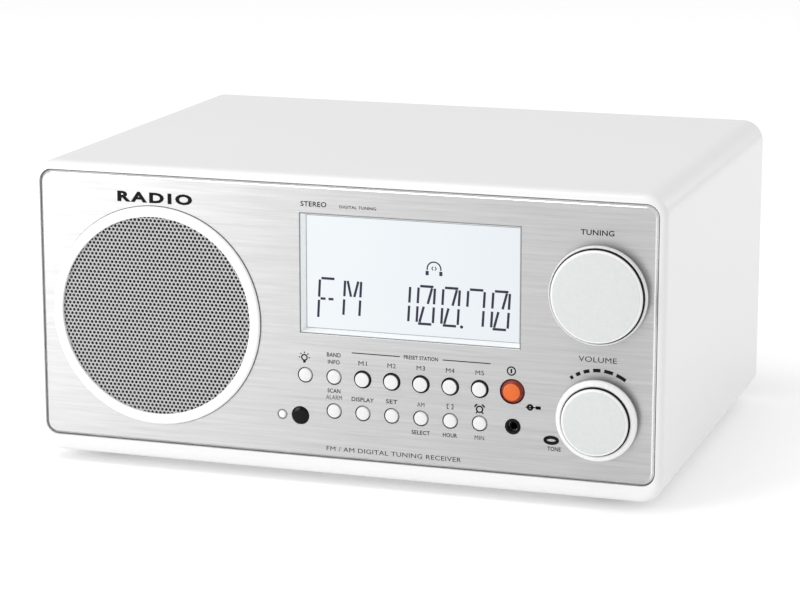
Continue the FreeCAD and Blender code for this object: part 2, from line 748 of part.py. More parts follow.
def make_board_parts():
    """The amplifier chip on its heat sink, the screened tuner and the large capacitors."""
    top = "main_board_z + board_thick"
    tuner = box("tuner_module", "main_board_x + main_board_length / 2 + 10", "main_board_depth + 43", top,
                "tuner_length", "tuner_width", "tuner_height")
    capacitors = [rod(f"capacitor_{number}", f"main_board_x + (2 + {number}) * (capacitor_radius + 1) * 2 - 16",
                      "main_board_depth + 58", top, "capacitor_radius", "capacitor_height", "z")
                  for number in range(3)]
    sink_x = "main_board_x + 22"
    sink_back = "main_board_depth + 26.5"
    chip = box("amplifier_chip", f"{sink_x} + fin_pitch", f"{sink_back} - 4.5", top, "20", "4.5", "16")
    group("board_components", [tuner, chip, *capacitors])
    back = box("heat_sink_back", sink_x, sink_back, top, "5 * fin_pitch + heat_sink_wall", "heat_sink_wall",
               "heat_sink_height")
    fins = [box(f"heat_sink_fin_{number}", f"{sink_x} + {number} * fin_pitch",
                f"{sink_back} + heat_sink_wall - 0.5", top, "heat_sink_wall", "fin_reach",
                "heat_sink_height") for number in range(6)]
    keep(joined("heat_sink", [back, *fins]), "heat_sink")


def make_transformer():
    """An iron core with a winding that stands out in front and behind."""
    keep(box("transformer_core", "transformer_x", "transformer_depth", INNER_FLOOR, "core_length",
             "core_width", "core_height"), "transformer_core")
    winding_x = "transformer_x + (core_length - winding_length) / 2"
    windings = [box(f"winding_{side}", winding_x, y, f"{INNER_FLOOR} + core_height / 6", "winding_length",
                    "winding_reach", "core_height * 2 / 3")
                for side, y in (("front", "transformer_depth - winding_reach"),
                                ("back", "transformer_depth + core_width"))]
    group("transformer_windings", windings)


def make_ferrite_aerial():
    """The rod aerial for the AM band, held in two clips under the cabinet's top."""
    axis_z = "foot_height + cabinet_height - wall - ferrite_drop"
    keep(rod("ferrite_rod", "ferrite_x", "ferrite_depth", axis_z, "ferrite_radius", "ferrite_length", "x"),
         "ferrite_rod")
    coil_x = "ferrite_x + 30"
    spool = rod("coil_outer", coil_x, "ferrite_depth", axis_z, "ferrite_radius + 1.55", "coil_length", "x")
    hollow = rod("coil_hollow", f"{coil_x} - 1", "ferrite_depth", axis_z, "ferrite_radius + 0.05",
                 "coil_length + 2", "x")
    keep(less("ferrite_coil", spool, hollow), "ferrite_coil")
    clips = []
    for number, x in enumerate(("ferrite_x + 10", "ferrite_x + ferrite_length - 12 - clip_thick")):
        block = box(f"clip_block_{number}", x, "ferrite_depth - 8", f"{axis_z} - 7", "clip_thick", "16",
                    "ferrite_drop + 7")
        notch = rod(f"clip_notch_{number}", f"{x} - 1", "ferrite_depth", axis_z, "ferrite_radius + 0.05",
                    "clip_thick + 2", "x")
        clips.append(less(f"clip_{number}", block, notch))
    group("ferrite_clips", clips)


# ---------------------------------------------------------------- rear

def make_rear_cover():
    body = slab("rear_cover", "cover_rim + 0.3 - cabinet_width / 2", "cabinet_width / 2 - cover_rim - 0.3",
                "foot_height + cover_rim + 0.3", "foot_height + cabinet_height - cover_rim - 0.3",
                "cover_depth", "cover_thick")
    round_corners(body, "panel_radius")
    cut(body, lambda sketch: draw_rectangle(
        sketch, "inlet_x - inlet_half_length - 0.2", "inlet_x + inlet_half_length + 0.2",
        "socket_row_z - inlet_half_height - 0.2", "socket_row_z + inlet_half_height + 0.2"))
    cut(body, draw_socket_holes)
    cut(body, lambda sketch: [draw_circle(sketch, x, z, "screw_radius + 0.1") for x, z in rear_screw_spots()])
    keep(body)


def draw_socket_holes(sketch):
    for number in range(2):
        draw_circle(sketch, f"socket_first_x + {number} * socket_pitch", "socket_row_z",
                    "socket_radius + 0.1")
    draw_circle(sketch, "aerial_x", "aerial_z", "aerial_radius - 0.3")


def rear_screw_spots():
    low = "foot_height + cover_rim + 3"
    high = "foot_height + cabinet_height - cover_rim - 3"
    side = "cabinet_width / 2 - cover_rim - 14"
    return [(x, z) for x in (f"-({side})", "0", side) for z in (low, high)]


def rear_screws():
    """Cover screws: a pan head outside and a shank that ends at the cabinet's shoulder."""
    screws = []
    for number, (x, z) in enumerate(rear_screw_spots()):
        head = rod(f"rear_screw_head_{number}", x, REAR_FACE, z, "screw_head", "head_thick")
        shank = rod(f"rear_screw_shank_{number}", x, "cover_depth", z, "screw_radius", "cover_thick")
        screws.append(joined(f"rear_screw_{number}", [head, shank]))
    return screws


def make_mains_inlet():
    """A two-pin appliance inlet: a flanged block with a figure-eight well and two pins."""
    sides = ("inlet_half_length", "inlet_half_height")
    flange = box("inlet_flange", f"inlet_x - {sides[0]} - inlet_rim", REAR_FACE,
                 f"socket_row_z - {sides[1]} - inlet_rim", f"2 * ({sides[0]} + inlet_rim)", "1.5",
                 f"2 * ({sides[1]} + inlet_rim)")
    block = box("inlet_block", f"inlet_x - {sides[0]}", f"{REAR_FACE} - 15", f"socket_row_z - {sides[1]}",
                f"2 * {sides[0]}", "15.5", f"2 * {sides[1]}")
    floor = f"{REAR_FACE} - inlet_well"
    wells = [rod(f"inlet_well_{n}", f"inlet_x + {n} * pin_offset", floor, "socket_row_z",
                 "pin_offset - 0.1", "inlet_well + 3") for n in (-1, 1)]
    wells.append(box("inlet_well_middle", "inlet_x - pin_offset", floor, "socket_row_z - 3.6",
                     "2 * pin_offset", "inlet_well + 3", "7.2"))
    housing = joined("inlet_solid", [flange, block])
    keep(less("mains_inlet", housing, joined("inlet_wells", wells)), "mains_inlet")
    pins = [rod(f"inlet_pin_{n}", f"inlet_x + {n} * pin_offset", floor, "socket_row_z", "pin_radius",
                "inlet_well - 1") for n in (-1, 1)]
    group("mains_pins", pins)


def make_audio_sockets():
    """Two plug sockets, one in and one out; their wells open to the back."""
    body = "socket_radius + 1"
    back = f"{REAR_FACE} - socket_well - 2"
    outline = [
        ("0", back), (body, back), (body, "cover_depth"), ("socket_radius", "cover_depth"),
        ("socket_radius", f"{REAR_FACE} + 0.6"), ("jack_bore + 0.4", f"{REAR_FACE} + 0.6"),
        ("jack_bore", f"{REAR_FACE} + 0.2"), ("jack_bore", f"{REAR_FACE} - socket_well"),
        ("0", f"{REAR_FACE} - socket_well")]
    group("audio_sockets", [turned(f"audio_socket_{n}", outline, f"socket_first_x + {n} * socket_pitch",
                                   "socket_row_z") for n in range(2)])


def make_aerial_socket():
    """A threaded coaxial socket with a hexagon flange; a wire of the lead enters the bore in its end."""
    neck = "aerial_radius - 0.4"
    shoulder = f"{REAR_FACE} + 0.9"
    barrel = turned("aerial_barrel", [
        ("0", "cover_depth - 9"), (neck, "cover_depth - 9"), (neck, shoulder), ("aerial_radius", shoulder),
        ("aerial_radius", "rear_reach - 0.5"), ("aerial_radius - 0.5", "rear_reach"),
        ("aerial_wire_radius", "rear_reach"), ("aerial_wire_radius", "rear_reach - aerial_wire_depth"),
        ("0", "rear_reach - aerial_wire_depth")], "aerial_x", "aerial_z")
    flange = hexagon("aerial_flange", "aerial_x", REAR_FACE, "aerial_z", "aerial_hex_radius", "1.8")
    keep(joined("aerial_socket", [barrel, flange]), "aerial_socket")


# ---------------------------------------------------------------- underside

def foot_spots():
    side = "cabinet_width / 2 - foot_inset"
    return [(x, y) for x in (f"-({side})", side) for y in ("foot_inset", "cabinet_depth - foot_inset")]


def make_feet():
    feet = []
    for number, (x, y) in enumerate(foot_spots()):
        pad = doc.addObject("Part::Cone", f"foot_pad_{number}")
        place(pad, x, y, "0")
        bind(pad, "Radius1", "foot_radius - 0.8")
        bind(pad, "Radius2", "foot_radius")
        bind(pad, "Height", "foot_height")
        well = rod(f"foot_well_{number}", x, y, "-0.1", "screw_head + 0.3", "2.1", "z")
        bore = rod(f"foot_bore_{number}", x, y, "0", "screw_radius + 0.1", "foot_height", "z")
        feet.append(less(f"foot_{number}", pad, joined(f"foot_hollow_{number}", [well, bore])))
    group("feet", feet)


def foot_screws():
    screws = []
    for number, (x, y) in enumerate(foot_spots()):
        head = rod(f"foot_screw_head_{number}", x, y, "0.6", "screw_head", "1.4", "z")
        shank = rod(f"foot_screw_shank_{number}", x, y, "1", "screw_radius", "foot_height - 1", "z")
        screws.append(joined(f"foot_screw_{number}", [head, shank]))
    return screws


# ---------------------------------------------------------------- build and write

def check_document():
    """Every object computed, and every sub-part a valid shape made of solids."""
    doc.recompute()
    for thing in doc.Objects:
        if "Invalid" in thing.State or "Error" in thing.State:
            raise RuntimeError(f"{thing.Name} failed: {thing.State}")
    for thing in nodes:
        shape = thing.Shape
        if shape.isNull() or not shape.isValid() or not shape.Solids:
            raise RuntimeError(f"{thing.Label} has no valid solid")


def write_parts():
    os.makedirs("parts", exist_ok=True)
    for thing in nodes:
        thing.Shape.exportStep(f"parts/{thing.Label}.step")
    print(f"{len(nodes)} sub-parts written")


make_cabinet()
make_front_panel()
make_front_chassis()
make_grille()
make_speaker_frame()
make_speaker_steel()
make_speaker_cone()
make_speaker_suspension()
make_display()
make_buttons()
make_switches()
make_knob("tuning_knob", "tuning_z", "tuning_radius", "tuning_face")
make_knob("volume_knob", "volume_z", "volume_radius", "volume_face")
make_shaft("tuning_shaft", "tuning_z")
make_shaft("volume_shaft", "volume_z")
make_encoders()
make_nuts()
make_front_fittings()
make_boards()
make_board_parts()
make_transformer()
make_ferrite_aerial()
make_rear_cover()
make_mains_inlet()
make_audio_sockets()
make_aerial_socket()
make_feet()
group("screws", [*speaker_screws(), *rear_screws(), *foot_screws()])
check_document()
write_parts()
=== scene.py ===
import math

import bmesh
import bpy
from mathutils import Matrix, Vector
from mathutils.geometry import tessellate_polygon


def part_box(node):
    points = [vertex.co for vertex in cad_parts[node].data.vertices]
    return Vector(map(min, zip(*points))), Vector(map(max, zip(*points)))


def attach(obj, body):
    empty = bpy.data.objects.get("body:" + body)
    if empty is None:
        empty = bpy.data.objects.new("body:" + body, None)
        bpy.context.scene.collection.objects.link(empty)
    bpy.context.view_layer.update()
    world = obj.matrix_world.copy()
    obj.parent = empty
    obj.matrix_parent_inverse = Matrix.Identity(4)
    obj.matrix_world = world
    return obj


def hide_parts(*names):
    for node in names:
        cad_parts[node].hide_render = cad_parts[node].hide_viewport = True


# The looks of a tabletop radio: white lacquered cabinet, brushed panel, perforated speaker grille,
# backlit display, push buttons and two knobs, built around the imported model.
# Shapes are worked out in millimetres and stored in metres. Places across the panel are (x, z),
# and depths are counted backwards from the panel's face.

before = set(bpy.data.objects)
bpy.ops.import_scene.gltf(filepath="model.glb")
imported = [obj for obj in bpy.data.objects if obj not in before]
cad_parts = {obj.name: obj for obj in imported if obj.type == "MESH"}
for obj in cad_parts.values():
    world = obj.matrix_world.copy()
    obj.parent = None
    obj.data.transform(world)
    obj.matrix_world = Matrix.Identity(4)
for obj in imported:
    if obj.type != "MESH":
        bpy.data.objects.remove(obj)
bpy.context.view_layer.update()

MM = 0.001
# Steps of a rounded corner, in a turned outline and in a rounded rectangle.
ROUNDING_STEPS = 5
CORNER_STEPS = 6


def extent(node):
    """A node's lowest and highest corners in millimetres."""
    low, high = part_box(node)
    return Vector(low) / MM, Vector(high) / MM


def middle(node):
    """The centre of a node seen from the front, as (x, z)."""
    low, high = extent(node)
    return (low.x + high.x) / 2, (low.z + high.z) / 2


def half_width(node):
    """Half of a node's size from side to side."""
    low, high = extent(node)
    return (high.x - low.x) / 2


FACE = extent("front_panel")[0].y


def depth_range(node):
    """How far behind the panel's face a node starts and ends."""
    low, high = extent(node)
    return low.y - FACE, high.y - FACE


# ---- camera, light and floor

def aim(thing, target):
    """Turn a camera or a light to a point."""
    direction = Vector(target) - thing.location
    thing.rotation_euler = direction.to_track_quat("-Z", "Y").to_euler()


def add_object(name, data):
    """Put a camera, a light or a mesh into the scene."""
    thing = bpy.data.objects.new(name, data)
    bpy.context.collection.objects.link(thing)
    return thing


def add_camera():
    """A long lens, placed so that the cabinet's corners fall where the photo shows them."""
    lens = bpy.data.cameras.new("camera")
    lens.lens = 125.0
    lens.sensor_width = 36.0
    lens.clip_start = 0.01
    camera = add_object("camera", lens)
    camera.location = (0.3288, -1.0208, 0.2939)
    aim(camera, (-0.0045, -0.0028, 0.05235))
    bpy.context.scene.camera = camera


def add_softbox(name, location, target, width, height, power):
    """A rectangular light in metres and watts, turned to a target."""
    light = bpy.data.lights.new(name, "AREA")
    light.shape = "RECTANGLE"
    light.size = width
    light.size_y = height
    light.energy = power
    lamp = add_object(name, light)
    lamp.location = location
    aim(lamp, target)


def add_floor():
    """A wide pale floor that glows a little, so that it meets the room without an edge."""
    mesh = bpy.data.meshes.new("floor")
    reach = 4.0
    mesh.from_pydata([(-reach, -reach, 0), (reach, -reach, 0), (reach, reach, 0), (-reach, reach, 0)],
                     [], [(0, 1, 2, 3)])
    floor = add_object("floor", mesh)
    made, shader = new_material("studio_floor")
    set_values(shader, {"Base Color": (0.9, 0.9, 0.9, 1), "Roughness": 0.9,
                        "Emission Color": (1, 1, 1, 1), "Emission Strength": 0.2})
    mesh.materials.append(made)


ROOM_SHINE = 0.8
ROOM_SEEN = 1.0


def add_world():
    """An even white room, seen a little brighter than it shines."""
    world = bpy.data.worlds.new("studio")
    world.use_nodes = True
    background = world.node_tree.nodes["Background"]
    set_values(background, {"Color": (1, 1, 1, 1)})
    path = add_node(world, "LightPath")
    brightness = add_node(world, "MapRange")
    set_values(brightness, {"To Min": ROOM_SHINE, "To Max": ROOM_SEEN})
    link(world, path.outputs["Is Camera Ray"], brightness.inputs["Value"])
    link(world, brightness.outputs["Result"], background.inputs["Strength"])
    bpy.context.scene.world = world


def add_studio():
    add_world()
    bpy.context.scene.view_settings.view_transform = "Standard"
    add_softbox("key", (-0.97, -1.36, 0.45), (0, -0.08, 0.06), 0.8, 0.9, 10.0)
    add_softbox("overhead", (-0.45, -0.4, 1.4), (0, 0, 0.06), 0.7, 0.7, 4.3)
    add_softbox("back", (0.75, 1.1, 0.5), (0.1, 0, 0.08), 0.6, 0.6, 1.2)
    add_floor()


# ---- material helpers

def new_material(name):
    made = bpy.data.materials.new(name)
    made.use_nodes = True
    return made, made.node_tree.nodes["Principled BSDF"]


def set_values(node, values):
    """Set a node's sockets by name."""
    for name, value in values.items():
        node.inputs[name].default_value = value


def add_node(made, kind, settings=None, **sockets):
    """A node in a material or a world, with its settings and its sockets' values."""
    node = made.node_tree.nodes.new("ShaderNode" + kind)
    for key, value in (settings or {}).items():
        setattr(node, key, value)
    set_values(node, sockets)
    return node


def link(made, start, end):
    made.node_tree.links.new(start, end)


def places(made, stretch=(1, 1, 1)):
    """Points on the piece, in metres, stretched along the axes."""
    source = add_node(made, "TexCoord")
    mapping = add_node(made, "Mapping", Scale=stretch)
    link(made, source.outputs["Object"], mapping.inputs["Vector"])
    return mapping.outputs["Vector"]


def add_pattern(made, kind, settings=None, stretch=(1, 1, 1), **sockets):
    """A texture node that is laid out on the piece."""
    node = add_node(made, kind, settings, **sockets)
    link(made, places(made, stretch), node.inputs["Vector"])
    return node


def noise(made, scale, detail=4.0, stretch=(1, 1, 1)):
    """A cloudy pattern, whose scale is in grains for each metre."""
    return add_pattern(made, "TexNoise", stretch=stretch, Scale=scale, Detail=detail,
                       Roughness=0.55).outputs["Fac"]


def spread(made, source, low, high, start=0.3, end=0.7):
    """Map a pattern's middle range to a range of values."""
    node = add_node(made, "MapRange")
    link(made, source, node.inputs["Value"])
    set_values(node, {"From Min": start, "From Max": end, "To Min": low, "To Max": high})
    return node.outputs["Result"]


def tint(made, source, dark, light, start=0.3, end=0.7):
    """Colours from dark to light along a pattern."""
    node = add_node(made, "ValToRGB")
    first, last = node.color_ramp.elements
    first.position = start
    first.color = (*dark, 1)
    last.position = end
    last.color = (*light, 1)
    link(made, source, node.inputs["Fac"])
    return node.outputs["Color"]


def add_bump(made, shader, height, depth, strength=1.0):
    node = add_node(made, "Bump", Strength=strength, Distance=depth)
    link(made, height, node.inputs["Height"])
    link(made, node.outputs["Normal"], shader.inputs["Normal"])


def grey(value):
    return (value,) * 3


def follow(made, shader, pattern, dark, light, rough, depth, strength=1.0):
    """Let colour, roughness and relief follow one pattern."""
    link(made, tint(made, pattern, dark, light), shader.inputs["Base Color"])
    link(made, spread(made, pattern, *rough), shader.inputs["Roughness"])
    add_bump(made, shader, pattern, depth, strength)


def surface(name, dark, light, rough, scale, depth, stretch=(1, 1, 1), metallic=0.0):
    """A material with one noise pattern for its colour, roughness and relief."""
    made, shader = new_material(name)
    pattern = noise(made, scale, stretch=stretch)
    follow(made, shader, pattern, dark, light, rough, depth)
    set_values(shader, {"Metallic": metallic})
    return made


# ---- materials

def white_lacquer():
    """Sprayed lacquer over wood board: a faint orange-peel relief under a clear gloss."""
    made, shader = new_material("white_lacquer")
    peel = noise(made, 130.0, detail=0.0)
    cloud = noise(made, 11.0, detail=2.0)
    link(made, tint(made, cloud, grey(0.755), grey(0.775), 0.1, 0.9), shader.inputs["Base Color"])
    link(made, spread(made, cloud, 0.27, 0.33, 0.1, 0.9), shader.inputs["Roughness"])
    add_bump(made, shader, peel, 0.00001, 0.15)
    set_values(shader, {"Coat Weight": 0.2, "Coat Roughness": 0.12})
    return made


def brushed_aluminium():
    """Aluminium sheet brushed from side to side, which spreads highlights upright."""
    made, shader = new_material("brushed_aluminium")
    fine = noise(made, 1.0, detail=3.0, stretch=(45, 45, 2600))
    coarse = noise(made, 1.0, detail=5.0, stretch=(28, 28, 900))
    both = add_node(made, "Mix", {"data_type": "FLOAT"}, Factor=0.5)
    link(made, fine, both.inputs["A"])
    link(made, coarse, both.inputs["B"])
    follow(made, shader, both.outputs["Result"], grey(0.44), grey(0.57), (0.40, 0.30), 0.00005, 0.5)
    set_values(shader, {"Metallic": 1.0, "Anisotropic": 0.75})
    brushing = add_node(made, "CombineXYZ", Z=1.0)
    link(made, brushing.outputs["Vector"], shader.inputs["Tangent"])
    return made


def plastic(name, value, rough, depth=0.00001, shine=0.5):
    """Moulded plastic with a fine spark-eroded texture."""
    made = surface(name, value, tuple(part * 1.05 for part in value), rough, 900.0, depth)
    set_values(made.node_tree.nodes["Principled BSDF"], {"Specular IOR Level": shine})
    return made


def woven_cloth():
    """Loudspeaker dust cloth: crossing threads."""
    made, shader = new_material("dust_cloth")
    weave = add_node(made, "Math", {"operation": "MULTIPLY"})
    for number, axis in enumerate(("X", "Z")):
        wave = add_pattern(made, "TexWave", {"bands_direction": axis}, Scale=520.0,
                           Distortion=0.6, Detail=1.0)
        link(made, wave.outputs["Fac"], weave.inputs[number])
    link(made, tint(made, weave.outputs["Value"], grey(0.012), grey(0.06), 0.0, 0.8),
         shader.inputs["Base Color"])
    link(made, spread(made, weave.outputs["Value"], 0.95, 0.8), shader.inputs["Roughness"])
    add_bump(made, shader, weave.outputs["Value"], 0.0002)
    set_values(shader, {"Sheen Weight": 0.2})
    return made


def painted_glow_bezel_plastic():
    """White plastic with a faint painted glow that lifts it towards the display's tone."""
    made = plastic("painted_glow_bezel_plastic", (0.74, 0.76, 0.77), (0.35, 0.45))
    set_values(made.node_tree.nodes["Principled BSDF"],
               {"Emission Color": (0.9, 0.95, 1.0, 1), "Emission Strength": 0.08})
    return made


def display_backlight():
    """The display's liquid-crystal sheet, lit from its left edge."""
    made, shader = new_material("display_backlight")
    low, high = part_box("lcd_glass")
    split = add_node(made, "SeparateXYZ")
    link(made, places(made), split.inputs["Vector"])
    across = spread(made, split.outputs["X"], 0.0, 1.0, low[0], high[0])
    cloud = noise(made, 22.0, detail=2.0)
    mixed = add_node(made, "Mix", {"data_type": "FLOAT"}, Factor=0.25)
    link(made, across, mixed.inputs["A"])
    link(made, cloud, mixed.inputs["B"])
    glow = tint(made, mixed.outputs["Result"], (0.89, 0.925, 0.955), (0.79, 0.83, 0.875), 0.0, 1.0)
    link(made, glow, shader.inputs["Emission Color"])
    link(made, spread(made, cloud, 0.08, 0.14), shader.inputs["Roughness"])
    set_values(shader, {"Base Color": (0.04, 0.045, 0.045, 1), "Emission Strength": 0.92})
    return made


def turned_steel(name, value=0.55):
    """Plated metal with fine machining lines."""
    return surface(name, grey(value), grey(value * 1.15), (0.18, 0.34), 1.0, 0.00002,
                   stretch=(900, 90, 900), metallic=1.0)


def copper_winding():
    """Enamelled wire wound in close turns."""
    made, shader = new_material("copper_wire")
    wave = add_pattern(made, "TexWave", {"bands_direction": "DIAGONAL"}, Scale=700.0,
                       Distortion=0.3)
    follow(made, shader, wave.outputs["Fac"], (0.26, 0.08, 0.03), (0.72, 0.32, 0.14), (0.5, 0.25), 0.0001)
    set_values(shader, {"Metallic": 0.8})
    return made


def circuit_board():
    """Green solder mask over faint copper tracks."""
    made, shader = new_material("circuit_board")
    cells = add_pattern(made, "TexBrick", {"offset": 0.37, "squash": 0.7}, Scale=90.0)
    set_values(cells, {"Color1": (0.012, 0.10, 0.035, 1), "Color2": (0.016, 0.14, 0.05, 1),
                       "Mortar": (0.04, 0.20, 0.08, 1), "Mortar Size": 0.06})
    link(made, cells.outputs["Color"], shader.inputs["Base Color"])
    link(made, spread(made, noise(made, 300.0), 0.3, 0.45), shader.inputs["Roughness"])
    add_bump(made, shader, cells.outputs["Fac"], 0.00005, 0.4)
    return made


def laminations():
    """The stacked iron plates of a transformer core."""
    return surface("laminations", grey(0.10), grey(0.22), (0.35, 0.55), 1.0, 0.0001,
                   stretch=(20, 1600, 20), metallic=0.9)


# Colours are linear, a pair in brackets is the range of roughness, and relief depths are in metres.
MATERIALS = {
    "lacquer": white_lacquer(),
    "aluminium": brushed_aluminium(),
    "white": plastic("white_plastic", grey(0.69), (0.30, 0.40)),
    "cap": plastic("knob_plastic", (0.58, 0.60, 0.59), (0.32, 0.42)),
    "skirt": plastic("knob_skirt_plastic", grey(0.77), (0.2, 0.3)),
    "ring": plastic("ring_plastic", grey(0.84), (0.30, 0.40)),
    "socket": plastic("socket_plastic", grey(0.008), (0.6, 0.7), shine=0.12),
    "rear": surface("rear_cover_plastic", grey(0.018), grey(0.036), (0.5, 0.68), 1300.0, 0.00005),
    "rear_print": plastic("rear_printing_ink", grey(0.62), (0.5, 0.6)),
    "black": plastic("black_plastic", grey(0.015), (0.45, 0.6), shine=0.3),
    # Dark grey for painted shade on the preset buttons' sides and in the seam under the speaker ring.
    "side": plastic("painted_shade_side_plastic", grey(0.055), (0.4, 0.5), shine=0.3),
    "grey": plastic("grey_plastic", grey(0.30), (0.4, 0.55)),
    # The bezel plastic glows faintly: painted glow, not lit by any lamp.
    "bezel": painted_glow_bezel_plastic(),
    # Grey for the display bezel's front rim; on the lamp's ring and the knobs' outer walls it is painted
    # shade.
    "rim": plastic("rim_and_painted_shade_plastic", grey(0.22), (0.4, 0.5)),
    "orange": plastic("orange_plastic", (0.66, 0.112, 0.006), (0.28, 0.36)),
    # Dark red for painted shade on the power button's bevelled side.
    "red": plastic("painted_shade_red_plastic", (0.20, 0.022, 0.008), (0.35, 0.45)),
    "smoked": plastic("smoked_plastic", grey(0.004), (0.05, 0.10), depth=0.000002, shine=0.15),
    "lamp": plastic("lamp_plastic", grey(0.80), (0.15, 0.25)),
    "print": plastic("printing_ink", grey(0.006), (0.6, 0.7), shine=0.12),
    "segment": plastic("display_segment", (0.022, 0.022, 0.045), (0.4, 0.5), shine=0.2),
    "grille": surface("grille_steel", grey(0.44), grey(0.50), (0.40, 0.50), 700.0, 0.00001),
    "cloth": woven_cloth(),
    "backlight": display_backlight(),
    "foam": surface("foam_rubber", grey(0.02), grey(0.05), (0.9, 0.7), 700.0, 0.0001),
    "rubber": surface("feet_rubber", grey(0.035), grey(0.06), (0.8, 0.65), 500.0, 0.00008),
    "basket": surface("speaker_steel", grey(0.16), grey(0.24), (0.3, 0.5), 180.0, 0.00003, metallic=0.9),
    "ferrite": surface("ferrite", grey(0.035), grey(0.07), (0.5, 0.7), 350.0, 0.0001),
    "paper": surface("paper_cone", grey(0.02), grey(0.05), (0.9, 0.75), 260.0, 0.00015),
    "copper": copper_winding(),
    "board": circuit_board(),
    "nickel": turned_steel("nickel"),
    "polished": surface("polished_edge", grey(0.84), grey(0.92), (0.2, 0.3), 60.0, 0.000002, metallic=1.0),
    "screw": turned_steel("screw_steel", 0.36),
    "plates": laminations(),
    "tape": surface("winding_tape", (0.55, 0.33, 0.05), (0.68, 0.44, 0.09), (0.25, 0.4), 60.0, 0.00005,
                    stretch=(1, 1, 8)),
    "guide": surface("light_guide", grey(0.72), grey(0.80), (0.1, 0.2), 120.0, 0.00001),
}

# The CAD pieces that stay, by the material they get.
CARRIED_OVER = {
    "lacquer": ["cabinet"],
    "black": ["front_chassis", "push_switches", "board_components"],
    "rear": ["rear_cover"],
    "socket": ["mains_inlet", "audio_sockets"],
    "grey": ["encoders", "volume_rotor", "ferrite_clips"],
    "rubber": ["feet"],
    "backlight": ["lcd_glass"],
    "guide": ["lcd_light_guide"],
    "foam": ["speaker_gasket", "speaker_suspension"],
    "basket": ["speaker_basket"],
    "ferrite": ["speaker_magnet", "ferrite_rod"],
    "paper": ["speaker_cone", "dust_cap"],
    "copper": ["voice_coil", "ferrite_coil"],
    "nickel": ["speaker_yoke", "tuning_shaft", "volume_shaft", "nuts", "board_standoffs", "mains_pins",
               "aerial_socket"],
    "board": ["control_board", "main_board"],
    "grille": ["heat_sink"],
    "plates": ["transformer_core"],
    "tape": ["transformer_windings"],
}


def dress_carried_over():
    """Give each CAD piece that stays its finished material."""
    for choice, nodes in CARRIED_OVER.items():
        for node in nodes:
            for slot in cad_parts[node].material_slots:
                slot.material = MATERIALS[choice]


# ---- mesh helpers

SHARP_ANGLE = math.radians(32)


def add_piece(name, points, faces, choice, slot, body="radio", stands_for=()):
    """Make a closed mesh from millimetre points, and hand it to its body."""
    mesh = bpy.data.meshes.new(name)
    mesh.from_pydata([Vector(point) * MM for point in points], [], faces)
    tidy = bmesh.new()
    tidy.from_mesh(mesh)
    bmesh.ops.recalc_face_normals(tidy, faces=tidy.faces)
    tidy.to_mesh(mesh)
    tidy.free()
    mesh.shade_smooth()
    mesh.set_sharp_from_angle(angle=SHARP_ANGLE)
    mesh.materials.append(MATERIALS[choice])
    piece = add_object(name, mesh)
    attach(piece, body)
    if stands_for:
        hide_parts(*stands_for)
    return piece


def repaint(piece, choice, wanted):
    """Give a second material to the faces that pass a test."""
    piece.data.materials.append(MATERIALS[choice])
    second = len(piece.data.materials) - 1
    for polygon in piece.data.polygons:
        if wanted(polygon):
            polygon.material_index = second


def softened(outline):
    """Round the corners that carry a third number, the distance from the corner where rounding begins."""
    smooth = []
    for number, (radius, depth, *reach) in enumerate(outline):
        here = Vector((radius, depth))
        if not reach:
            smooth.append(here)
            continue
        before = Vector(outline[number - 1][:2])
        after = Vector(outline[(number + 1) % len(outline)][:2])
        start = here + (before - here).normalized() * reach[0]
        end = here + (after - here).normalized() * reach[0]
        for step in range(ROUNDING_STEPS + 1):
            part = step / ROUNDING_STEPS
            smooth.append((1 - part) ** 2 * start + 2 * part * (1 - part) * here + part ** 2 * end)
    return smooth


def join_rings(faces, first, second, around):
    """Faces between two rings of points, given by where each ring starts."""
    for step in range(around):
        after = (step + 1) % around
        faces.append((first + step, first + after, second + after, second + step))


def turned_mesh(outline, centre, segments):
    """Points and faces of an outline of (radius, depth) turned about a front-to-back axis."""
    points = []
    rings = []
    for radius, depth in softened(outline):
        if radius == 0:
            rings.append([len(points)] * segments)
            points.append((centre[0], FACE + depth, centre[1]))
            continue
        rings.append(list(range(len(points), len(points) + segments)))
        for step in range(segments):
            angle = math.tau * step / segments
            points.append((centre[0] + radius * math.cos(angle), FACE + depth,
                           centre[1] + radius * math.sin(angle)))
    faces = []
    on_axis = outline[0][0] == 0
    pairs = zip(rings, rings[1:] if on_axis else rings[1:] + rings[:1])
    for first, second in pairs:
        for step in range(segments):
            after = (step + 1) % segments
            corners = dict.fromkeys((first[step], first[after], second[after], second[step]))
            faces.append(tuple(corners))
    return points, faces


def turned(name, outline, centre, choice, slot, segments=48, **options):
    """A piece turned from an outline of (radius, depth), with a third number where a corner is round."""
    points, faces = turned_mesh(outline, centre, segments)
    return add_piece(name, points, faces, choice, slot, **options)


def round_loop(centre, radius, segments=48):
    """Points round a circle, as (x, z)."""
    turns = [math.tau * step / segments for step in range(segments)]
    return [(centre[0] + radius * math.cos(turn), centre[1] + radius * math.sin(turn)) for turn in turns]


def rounded_loop(low, high, corner, inset=0.0):
    """Points round a rounded rectangle, drawn in from its edge."""
    radius = max(corner - inset, 0.05)
    left, right = low[0] + inset + radius, high[0] - inset - radius
    bottom, top = low[1] + inset + radius, high[1] - inset - radius
    hubs = ((right, top), (left, top), (left, bottom), (right, bottom))
    points = []
    for quarter, (hub_x, hub_z) in enumerate(hubs):
        for step in range(CORNER_STEPS + 1):
            angle = math.radians(90 * quarter + 90 * step / CORNER_STEPS)
            points.append((hub_x + radius * math.cos(angle), hub_z + radius * math.sin(angle)))
    return points


def framed_mesh(outline, low, high, corner):
    """Points and faces of an outline of (inset, depth) carried round a rounded rectangle."""
    points = []
    for inset, depth in softened(outline):
        loop = rounded_loop(low, high, corner, inset)
        points.extend((across, FACE + depth, up) for across, up in loop)
    around = len(loop)
    faces = []
    for start in range(0, len(points), around):
        join_rings(faces, start, (start + around) % len(points), around)
    return points, faces


